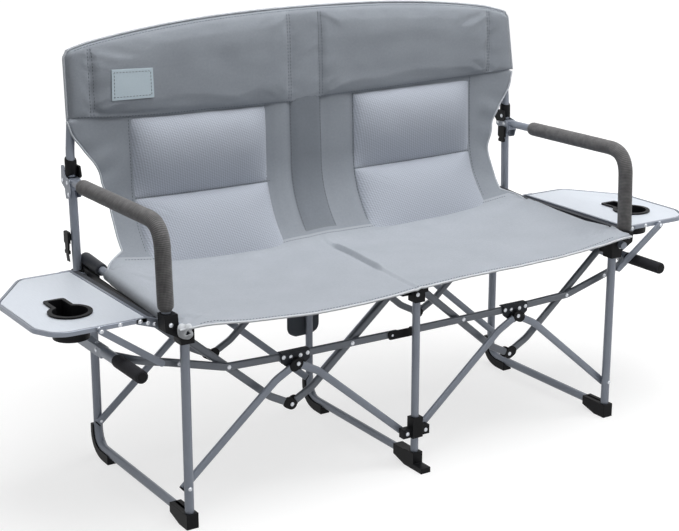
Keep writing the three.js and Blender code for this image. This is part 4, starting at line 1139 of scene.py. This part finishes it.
def rowColumns(halfWidth, widerLeft=0):
    steps = [k / edgeSteps for k in range(1, edgeSteps + 1)]
    left = [-mix(innerHalf, halfWidth + widerLeft, step) for step in reversed(steps)]
    return left + innerColumns + [mix(innerHalf, halfWidth, step) for step in steps]


# Between the two brackets the side of the seat rolls over its rail, from the top round to below.
def wrapped(flat, k, side):
    y, railX, wrap, half = flat.y, railSize["x"], seatSize["wrap"], edgeSteps // 2
    over = smooth(-208, -190, y) * smooth(117, 100, y)
    lift = along(rightLift, y) if side > 0 else 0
    middle = railZ(y) + lift
    if k <= half:
        x = mix(innerHalf, railX, k / half)
        held = seatPoint(side * x, y)
        held.z = mix(held.z, middle + wrap, smooth(520, railX, x))
    else:
        angle = math.radians(90 - (158 - 6 * lift) * (k - half) / half)
        held = Vector((side * (railX + wrap * math.cos(angle)), y, middle + wrap * math.sin(angle)))
    return flat.lerp(held, over)


def slingRows():
    rows = []
    for k in range(43):
        y = mix(seatSize["front"], seatSize["rear"] - 2, k / 42)
        halfWidth = seatSize["halfWidth"] + 14 * smooth(-238, -258, y)
        row = [seatPoint(x, y) for x in rowColumns(halfWidth)]
        for i in range(1, edgeSteps + 1):
            row[edgeSteps - i] = wrapped(row[edgeSteps - i], i, -1)
            row[-edgeSteps - 1 + i] = wrapped(row[-edgeSteps - 1 + i], i, 1)
        rows.append(row)
    turn = len(rows)
    for k in range(1, 67):
        v = k / 30
        columns = rowColumns(backHalfWidth(v), 9 * smooth(1.5, 1.85, v))
        rows.append([backPoint(x, v) + backNormal(x, v) * backDetail(x, v) for x in columns])
    for _ in range(5):
        soft = [list(r) for r in rows]
        for j in range(turn - 5, turn + 4):
            for i in range(len(rows[j])):
                soft[j][i] = (rows[j - 1][i] + rows[j][i] * 2 + rows[j + 1][i]) / 4
        rows = soft
    return rows, turn


def clothMesh(name, rows, thickness, pick):
    points, faces, places = gridShape(rows)
    wide = len(rows[0]) - 1
    looks = [pick(k // wide, k % wide) for k in range(len(faces))]
    mesh = meshOf(name, points, faces, places, looks)
    piece = placed(name, mesh)
    mesh.shade_smooth()
    thickened(piece, thickness)
    return piece


# Cuts a finished piece at the fold of the back; the cut keeps the whole piece's shading, so it doesn't show.
def splitAtHinge(piece, lowerName, upperName):
    work = bmesh.new()
    work.from_mesh(piece.data)
    level = (0, 0, hingeZ / 1000)
    everything = work.verts[:] + work.edges[:] + work.faces[:]
    bmesh.ops.bisect_plane(work, geom=everything, dist=1e-6, plane_co=level, plane_no=(0, 0, 1))
    work.normal_update()
    halves = []
    for name, keepUpper in ((lowerName, False), (upperName, True)):
        half = work.copy()
        normals = {}
        for vert in half.verts:
            if abs(vert.co.z - level[2]) < 1e-5:
                normals[tuple(round(c, 6) for c in vert.co)] = vert.normal.copy()
        wrong = [f for f in half.faces if (f.calc_center_median().z > level[2]) != keepUpper]
        bmesh.ops.delete(half, geom=wrong, context="FACES")
        rims = [e for e in half.edges if e.is_boundary]
        for face in bmesh.ops.holes_fill(half, edges=rims, sides=0)["faces"]:
            face.smooth = False
        mesh = bpy.data.meshes.new(name)
        half.to_mesh(mesh)
        half.free()
        for material in piece.data.materials:
            mesh.materials.append(material)
        kept = [(0, 0, 0)] * len(mesh.loops)
        for polygon in mesh.polygons:
            for loop in polygon.loop_indices if polygon.use_smooth else ():
                spot = tuple(round(c, 6) for c in mesh.vertices[mesh.loops[loop].vertex_index].co)
                kept[loop] = normals.get(spot, (0, 0, 0))
        mesh.normals_split_custom_set(kept)
        halves.append(placed(name, mesh))
    work.free()
    bpy.data.objects.remove(piece)
    return halves


# A padded piece is sewn down at its border and blown up a little by the cloth solver, for a few frames.
# Its puff is the furthest that a place may move, in millimetres, and the pressure.
puffFrames = 16
puffSettings = {"quality": 5, "mass": 0.25, "tension_stiffness": 12, "compression_stiffness": 6,
                "bending_stiffness": 0.4, "use_pressure": True, "vertex_group_mass": "sewn"}


def inflate(piece, sewn, cap, pressure):
    group = piece.vertex_groups.new(name="sewn")
    group.add(sewn, 1.0, "REPLACE")
    puff = piece.modifiers.new("puff", "CLOTH")
    for key, value in puffSettings.items():
        setattr(puff.settings, key, value)
    puff.settings.uniform_pressure_force = pressure
    puff.settings.effector_weights.gravity = 0
    puff.collision_settings.use_collision = False
    puff.point_cache.frame_end = puffFrames
    rest = [v.co.copy() for v in piece.data.vertices]
    for number in range(1, puffFrames + 1):
        scene.frame_set(number)
    graph = bpy.context.evaluated_depsgraph_get()
    swollen = [v.co.copy() for v in piece.evaluated_get(graph).data.vertices]
    piece.modifiers.clear()
    piece.vertex_groups.clear()
    for vert, before, after in zip(piece.data.vertices, rest, swollen):
        move = after - before
        if move.length > cap / 1000:
            move = move.normalized() * (cap / 1000)
        vert.co = before + move
    scene.frame_set(1)


def refine(piece):
    subdivision = piece.modifiers.new("fine", "SUBSURF")
    subdivision.levels = 1
    subdivision.render_levels = 1
    bake(piece)


# Two facing sheets, from a function that gives the pair of places at a column and a share of the height.
def facingSheets(columns, count, pair):
    rows = [[pair(column, j / count) for column in columns] for j in range(count + 1)]
    return [[[spots[k] for spots in row] for row in rows] for k in (0, 1)]


# A raised mesh pad: its front swells off the sling, highest at its peak, and its border lies at the seam.
def padSheets(low, high, side, pad):
    bend = math.log(0.5) / math.log(pad["peak"])

    def pair(a, b):
        x = side * mix(padSize["inner"] + 2, padSize["outer"], a if side > 0 else 1 - a)
        hidden = 1 + (along(headerFoot, x) - 0.5 - hingeZ) / (backSize["panelTop"] - hingeZ)
        v = mix(low, min(high, hidden), b)
        across = max(1 - abs(2 * a - 1) ** 5, 0) ** 0.7
        upward = max(1 - abs(2 * b ** bend - 1) ** pad["full"], 0) ** 0.75
        tuck = 0.6 * math.sin(b * 60 + side) * (math.exp(-a / 0.05) + math.exp((a - 1) / 0.05))
        base = backPoint(x, v) + backNormal(x, v) * (backDetail(x, v) - 0.6)
        swollen = base + backNormal(x, v) * (pad["swell"] * across * upward + tuck)
        return swollen, base - backNormal(x, v) * 1.2

    shares = [i / padSize["columns"] for i in range(padSize["columns"] + 1)]
    return facingSheets(shares, padSize["rows"], pair)


def closedGrid(name, front, rear, material, puff, sewn=()):
    wide, tall = len(front[0]), len(front)
    points, faces, places = gridShape(front)
    layer = wide * tall
    points += [p for row in rear for p in row]
    faces += [tuple(layer + k for k in reversed(f)) for f in faces]
    places += [tuple(reversed(p)) for p in places]
    border = [(0, i) for i in range(wide)] + [(j, wide - 1) for j in range(1, tall)]
    border += [(tall - 1, i) for i in range(wide - 2, -1, -1)] + [(j, 0) for j in range(tall - 2, 0, -1)]
    ring = [j * wide + i for j, i in border]
    rim = [(layer + a, layer + b, b, a) for a, b in zip(ring, ring[1:] + ring[:1])]
    shape = (points, faces + rim, places + [None] * len(rim))
    piece = makePiece(name, [(shape, material)], angle=180)
    inflate(piece, ring + list(sewn) + list(range(layer, 2 * layer)), *puff)
    refine(piece)
    return piece


padKinds = {"Lower": {"swell": 27, "peak": 0.58, "full": 2.6, "fill": 0.75},
            "Upper": {"swell": 29, "peak": 0.55, "full": 2.1, "fill": 0.6}}


def buildPads():
    seam = padSize["seam"]
    spans = {"Lower": (padSize["low"], seam - 0.003), "Upper": (seam + 0.003, padSize["high"])}
    for word, side in bothSides:
        for kind, pad in padKinds.items():
            front, rear = padSheets(*spans[kind], side, pad)
            piece = closedGrid(word + kind + "Pad", front, rear, meshKnit, padSize["puff"])
            pieces = [piece]
            if kind == "Upper":
                pieces = splitAtHinge(piece, word + "UpperPadFoot", word + "UpperPadTop")
            for part, body in zip(pieces, ("centre_frame", "centre_back")):
                gather(part, body)


# Header: two puffed panels between sleeves for the three posts, closed all round.
headerSize = {"seams": (-560, -57, 27, 529), "panel": 10, "sleeve": 3, "round": 15, "corner": 28, "taper": 7,
              "leftEnd": 613, "rightFoot": 618, "rightTop": 600, "rows": 36, "puff": (2.5, 1.2)}
headerStops = (-backSize["header"], *headerSize["seams"], backSize["header"])
headerFoot = [(-623, 796), (-560, 792), (-488, 786), (-377, 781), (-138, 778), (-63, 776), (34, 781),
              (229, 784), (458, 789), (506, 791), (623, 795)]


def topEdge(x):
    return backSize["headerTop"] - backSize["fall"] * (abs(x) / backSize["header"]) ** 2.4


def headerColumns():
    columns = [headerStops[0]]
    for a, b in zip(headerStops, headerStops[1:]):
        count = max(8, round((b - a) / 11))
        columns += [mix(a, b, k / count) for k in range(1, count + 1)]
    return columns


# How far a place lies inside a panel with two round lower corners.
def panelDepth(x, z, left, right, foot, top):
    r = headerSize["corner"]
    toSide = min(x - left, right - x)
    toFoot = min(z - foot, top - z)
    if toSide < r and z - foot < r:
        return r - math.hypot(r - toSide, r - (z - foot))
    return min(toSide, toFoot)


def headerBulge(x, z, foot, top):
    lift = 0
    for k, (left, right) in enumerate(zip(headerStops, headerStops[1:])):
        if left <= x <= right:
            panel = k in (1, 3)
            low = foot + (mix(14, 4, smooth(-560, -150, x)) if panel else 4)
            depth = panelDepth(x, z, left + 1.5, right - 1.5, low, top - 3)
            rise = headerSize["panel"] if panel else headerSize["sleeve"]
            near = 1 - min(max(depth, 0) / headerSize["round"], 1)
            lift = rise * math.sqrt(1 - near * near) * smooth(-30, 70, top - z)
    near = min(abs(x - s) for s in headerSize["seams"])
    lift += 1.9 * math.exp(-near / 15) * math.sin(z / 5.4 + 1.7 * math.sin(z / 21) + x) * smooth(0, 5, near)
    lift += 1.8 * wave(x, z, 70, 45, 5) * smooth(0, 20, near)
    return 2.5 + lift


# The two ends beyond the last seams: upright on the left, leaning in on the right.
def headerX(column, t):
    ends = {"left": headerSize["leftEnd"], "right": mix(headerSize["rightFoot"], headerSize["rightTop"], t)}
    taper = headerSize["taper"] * smooth(0.9, 1, t)
    first, last = headerSize["seams"][0], headerSize["seams"][-1]
    if column > last:
        return mix(last, ends["right"] - taper, (column - last) / (backSize["header"] - last))
    if column < first:
        return mix(first, taper - ends["left"], (first - column) / (backSize["header"] + first))
    return column


def headerSheets():
    def pair(column, t):
        u = column / backSize["header"]
        x = headerX(column, t)
        foot = along(headerFoot, column)
        top = topEdge(column) - 3
        z = mix(foot, top, t)
        face, behind = backFace(z), postY(z) + 15
        middle = mix(face, behind, 0.3)
        tight = math.sqrt(max(1 - abs(u) ** 40, 0)) * math.sqrt(max(1 - max(2 * t - 1, 0) ** 14, 0))
        ahead = face - headerBulge(column, z, foot, top)
        back = behind + 1.5 * wave(x, z, 80, 60, 8)
        return Vector((x, mix(middle, ahead, tight), z)), Vector((x, mix(middle, back, tight) + 0.4, z))

    return facingSheets(headerColumns(), headerSize["rows"], pair)


cordSize = {"header": 2.7, "hem": 2.6, "side": 2.2}


def edgeCord(name, path, radius, material):
    return makePiece(name, [(sweepShape(path, circle(radius, 12), (0, 1, 0)), material)])


def buildHeader():
    front, rear = headerSheets()
    columns, wide = headerColumns(), len(front[0])
    held = [i for i, x in enumerate(columns) if x in headerSize["seams"]]
    sewn = [j * wide + i for j in range(len(front)) for i in held]
    # The header is sewn from the darker copy of the oxford, which is painted shade.
    header = closedGrid("header", front, rear, shadedOxford, headerSize["puff"], sewn)
    gather(header, "centre_back", ["upper_back_cloth"])
    left = [row[0] + Vector((-1, -1, 0)) for row in front]
    right = [row[-1] + Vector((1, -1, 0)) for row in reversed(front)]
    top = [p + Vector((0, -1, 1.5)) for p in front[-1][1:-1]]
    cord = edgeCord("headerPiping", left + top + right, cordSize["header"], tape)
    gather(cord, "centre_back")
    return header, front


def buildSling():
    rows, turn = slingRows()
    bands = rowColumns(600)

    # Above the crease the back takes the darker copy of the oxford, painted shade for its upright faces; the
    # seat keeps the cloth's own tone.
    def pick(row, column):
        middle = (bands[column] + bands[column + 1]) / 2
        if row < turn + 2:
            return slingCloth
        return stripOxford if row >= turn + 3 and stripSeams[1] < middle < stripSeams[2] else shadedOxford

    sling = clothMesh("sling", rows, seatSize["thick"], pick)
    lower, upper = splitAtHinge(sling, "seatSling", "backPanel")
    gather(lower, "centre_frame", ["seat_cloth", "lower_back_cloth"])
    gather(upper, "centre_back")
    path = [p + Vector((0, -1.5, -1)) for p in rows[0]]
    hem = edgeCord("seatHem", path, cordSize["hem"], hemTape)
    gather(hem, "centre_frame")
    for word, side in bothSides:
        path = [row[-1 if side > 0 else 0] + Vector((side * 0.8, 0, 0)) for row in rows[turn - 2:]]
        path = [p for p in path if p.z < 797]
        cord = edgeCord("sideCord", path, cordSize["side"], tape)
        halves = splitAtHinge(cord, word + "SideCordLow", word + "SideCordHigh")
        gather(halves[0], "centre_frame")
        gather(halves[1], "centre_back")
    return lower, upper, rows, turn


# A tube of cloth, open at both ends, with the cloth's own thickness.
def clothTube(name, path, radius, material, thickness, scales=None, lobes=0):
    sides = 32
    points, faces, places = sweepShape(path, circle(radius, sides), (1, 0, 0), scales)
    for k, point in enumerate(points):
        centre = Vector(path[k // sides])
        away = math.atan2(point.z - centre.z, point.x - centre.x)
        points[k] = centre + (point - centre) * (1 + lobes * math.sin(3 * away + centre.y / 4))
    tube = makePiece(name, [((points, faces[:-2], places[:-2]), material)], angle=180)
    thickened(tube, thickness)
    return tube


# The seat is rolled round its rails in two sleeves; the pale inside of the left one shows at the front.
def buildSleeves():
    def hold(sleeve, word):
        settle(sleeve, word + "_side_frame")

    for word, side in bothSides:
        run = [Vector((side * railSize["x"], y, railZ(y))) for y in range(-206, 112, 12)]
        hold(clothTube(word + "RailSleeve", run, 13.2, slingCloth, 2), word)
    path = [Vector((-railSize["x"], y, railZ(y) + 1)) for y in (-267, -265, -262, -258, -252, -246)]
    grows = [0.3, 0.62, 0.92, 1.05, 1.0, 0.95]
    hold(clothTube("leftSleeveEnd", path, 15, lining, 1.6, grows, 0.2), "left")


# A flat pouch that hangs behind the middle of the seat.
pouchSize = {"left": -56, "right": 37, "top": 430, "bottom": 182, "front": 239.5, "depth": 17, "round": 26,
             "columns": 18, "rows": 30, "puff": (4, 2.0)}


def buildPouch():
    y, low, bend = pouchSize["front"], pouchSize["bottom"], pouchSize["round"]

    def pair(a, b):
        z = mix(low, pouchSize["top"], b)
        short = max(bend - (z - low), 0)
        pull = bend - math.sqrt(bend * bend - short * short)
        x = mix(pouchSize["left"] + pull, pouchSize["right"] - pull, a)
        full = max(1 - abs(2 * a - 1) ** 4, 0) * max(1 - abs(2 * min(b, 0.6) / 0.6 - 1) ** 4, 0.15)
        swell = 3 + pouchSize["depth"] * full + 1.5 * wave(x, z, 40, 50, 9)
        return Vector((x, y, z)), Vector((x, y + swell, z))

    shares = [i / pouchSize["columns"] for i in range(pouchSize["columns"] + 1)]
    front, rear = facingSheets(shares, pouchSize["rows"], pair)
    pouch = closedGrid("pouch", front, rear, pouchCloth, pouchSize["puff"])
    gather(pouch, "centre_frame")


lowerSling, upperSling, slingGrid, slingTurn = buildSling()
buildPads()
header, headerFront = buildHeader()
buildSleeves()
buildPouch()
print("stage: cloth built")


# Sewing and the bare label

def surfaceOf(piece):
    mesh = piece.data
    return BVHTree.FromPolygons([v.co for v in mesh.vertices], [tuple(p.vertices) for p in mesh.polygons])


# Moves places to the nearest ones on a piece.
def laid(surface, points, lift):
    spots = []
    for point in points:
        hit, normal, _, _ = surface.find_nearest(Vector(metres(point)))
        spots.append(drawn(hit + normal * (lift / 1000)))
    return spots


# Drops places straight back onto a piece.
def dropped(surface, points, lift):
    spots = []
    for point in points:
        hit = surface.ray_cast(Vector(metres(point)), Vector((0, 1, 0)))[0]
        spots.append(drawn(hit) - Vector((0, lift, 0)))
    return spots


labelSize = {"corners": ((-515, 898), (-416, 894), (-415, 828), (-517, 830)), "thick": 1.6, "lift": 2.0,
             "inset": 0.06, "rise": 0.1}
stitchSize = {"Pitch": 0.0075, "Length": 0.0052, "Thickness": 0.0013, "Finish": thread}


def labelSpot(a, b):
    (x0, z0), (x1, z1), (x2, z2), (x3, z3) = labelSize["corners"]
    x = mix(mix(x3, x2, a), mix(x0, x1, a), b)
    z = mix(mix(z3, z2, a), mix(z0, z1, a), b)
    return Vector((x, backSize["face"] - 60, z))


def buildLabel(surface):
    rows = [dropped(surface, [labelSpot(i / 20, j / 14) for i in range(21)], labelSize["lift"])
            for j in range(15)]
    label = clothMesh("label", rows, labelSize["thick"], lambda row, column: patch)
    edged(label, 0.5)
    gather(label, "centre_back")
    a, b = labelSize["inset"], labelSize["rise"]
    loop = [(a, b), (1 - a, b), (1 - a, 1 - b), (a, 1 - b), (a, b)]
    line = []
    for (a0, b0), (a1, b1) in zip(loop, loop[1:]):
        line += [labelSpot(mix(a0, a1, k / 12), mix(b0, b1, k / 12)) for k in range(12)]
    return dropped(surface, line + line[:1], labelSize["lift"] + 0.3)


def seamLines():
    above = surfaceOf(header)
    low, high = surfaceOf(lowerSling), surfaceOf(upperSling)
    lines = {"centre_frame": [], "centre_back": [buildLabel(above)]}
    columns = headerColumns()
    for seam in headerSize["seams"]:
        for shift in (-3.2, 3.2):
            run = [row[columns.index(seam)] + Vector((shift, -8, 0)) for row in headerFront[2:-2]]
            lines["centre_back"].append(laid(above, run, 0.4))
    under = [p + Vector((0, -8, -6)) for p in headerFront[-1][3:-3]]
    # The dark thread along the header's foot is its seam, and it also stands in for the shadow line under the
    # foot: painted shade.
    hem = [p + Vector((0, -8, 2)) for p in headerFront[0][3:-3]]
    lines["centre_back"] += [laid(above, under, 0.4), laid(above, hem, 0.4)]

    def climb(x, fromV, toV, body, surface):
        run = []
        for k in range(41):
            v = mix(fromV, toV, k / 40)
            run.append(backPoint(x, v) + backNormal(x, v) * (backDetail(x, v) + 6))
        lines[body].append(laid(surface, run, 0.5))

    # The dark thread rows along the pad borders and in the gap between the two pads are seams, and they also
    # stand in for the shadow in the tucks: painted shade.
    for x in (*stripSeams[1:3], stripSeams[0] - 2, stripSeams[3] + 2, -474, 474):
        climb(x, 0.16, 0.985, "centre_frame", low)
        climb(x, 1.015, 1.9, "centre_back", high)
    seam = padSize["seam"]
    tuck = [backPoint(x, seam) + backNormal(x, seam) * 6 for x in range(122, padSize["outer"], 8)]
    for side in (1, -1):
        lines["centre_frame"].append(laid(low, [Vector((side * p.x, p.y, p.z)) for p in tuck], 0.6))
    for row in (1, slingTurn + 1):
        run = [p + Vector((0, -2, 6)) for p in slingGrid[row][6:-6]]
        lines["centre_frame"].append(laid(low, run, 0.4))
    return lines


def buildSewing():
    for body, lines in seamLines().items():
        points, edges = [], []
        for line in lines:
            edges += [(len(points) + k, len(points) + k + 1) for k in range(len(line) - 1)]
            points += line
        name = "backSewing" if body == "centre_back" else "seatSewing"
        gather(grown(name, points, edges, stitchTree, stitchSize), body)


buildSewing()
print("stage: seams sewn")


# Camera, lamps and floor

cameraSize = {"spot": (-1928.7, -2919.2, 1461.8), "way": (0.51753, 0.80687, -0.28481), "lens": 83.13}


def buildCamera():
    data = bpy.data.cameras.new("camera")
    data.lens = cameraSize["lens"]
    data.sensor_width = 36
    camera = placed("camera", data)
    camera.location = metres(cameraSize["spot"])
    camera.rotation_euler = Vector(cameraSize["way"]).to_track_quat("-Z", "Y").to_euler()
    scene.camera = camera


def addLamp(name, spot, target, size, power, mirrored=True):
    data = bpy.data.lights.new(name, "AREA")
    data.shape = "RECTANGLE"
    data.size, data.size_y = size
    data.energy = power
    lamp = placed(name, data)
    lamp.location = spot
    lamp.visible_glossy = mirrored
    lamp.rotation_euler = (Vector(target) - Vector(spot)).to_track_quat("-Z", "Y").to_euler()


# What the camera sees past the object is white; the object itself gets a plain weak light from all round.
def buildWorld():
    world = bpy.data.worlds.new("studio")
    scene.world = world
    world.use_nodes = True
    tree = world.node_tree
    tree.nodes.clear()
    rays = tree.nodes.new("ShaderNodeLightPath").outputs
    kinds = {0: rays["Is Camera Ray"], 1: rays["Is Transmission Ray"]}
    seen = addNode(tree, "ShaderNodeMath", kinds, operation="MAXIMUM")
    seen = addNode(tree, "ShaderNodeMath", {0: seen, 1: rays["Is Glossy Ray"]}, operation="MAXIMUM")
    strength = addNode(tree, "ShaderNodeMapRange", {"Value": seen, "To Min": 0.13, "To Max": 1.0})
    light = addNode(tree, "ShaderNodeBackground", {"Color": (1, 1, 1, 1), "Strength": strength})
    addNode(tree, "ShaderNodeOutputWorld", {"Surface": light})


# Pale studio floor: matt, and lifted to white for the camera, so that only the soft shadow shows on it.
def buildFloor():
    material, tree, surface = newMaterial("studio_floor")
    place = addNode(tree, "ShaderNodeTexCoord", give="Object")
    cloud = addNode(tree, "ShaderNodeTexNoise", {"Vector": place, "Scale": 1000 / 400}, "Fac")
    colors = {0: cloud, 6: hexColor("a0a0a0"), 7: hexColor("a6a6a6")}
    addNode(tree, "ShaderNodeMix", colors, 2, surface["Base Color"], data_type="RGBA")
    surface["Roughness"].default_value = 1.0
    surface["Specular IOR Level"].default_value = 0.0
    rays = tree.nodes.new("ShaderNodeLightPath").outputs
    kinds = {0: rays["Is Camera Ray"], 1: rays["Is Glossy Ray"]}
    seen = addNode(tree, "ShaderNodeMath", kinds, operation="MAXIMUM")
    surface["Emission Color"].default_value = (1, 1, 1, 1)
    away = addNode(tree, "ShaderNodeVectorMath", {0: place}, "Value", operation="LENGTH")
    fade = {"Value": away, "From Min": 0.7, "From Max": 2.6, "To Min": 0.7, "To Max": 0.99}
    lift = addNode(tree, "ShaderNodeMapRange", fade)
    addNode(tree, "ShaderNodeMath", {0: seen, 1: lift}, 0, surface["Emission Strength"], operation="MULTIPLY")
    span = (-30000, 30000)
    makePiece("studioFloor", [(boxShape(span, span, (-12, -0.3)), material)])


buildCamera()
addLamp("topLamp", (0.2, -0.5, 3.3), (0, -0.1, 0.4), (3.0, 2.2), 104)
addLamp("keyLamp", (2.6, -1.8, 2.4), (0, 0, 0.6), (1.8, 1.8), 26)
addLamp("fillLamp", (-2.8, -2.2, 2.0), (0, 0, 0.5), (1.6, 1.6), 5)
addLamp("backLamp", (-0.6, 3.0, 1.7), (0, 0, 0.6), (2.0, 1.4), 14, False)
buildWorld()
buildFloor()
scene.view_settings.view_transform = "Standard"
print("stage: camera and light set")
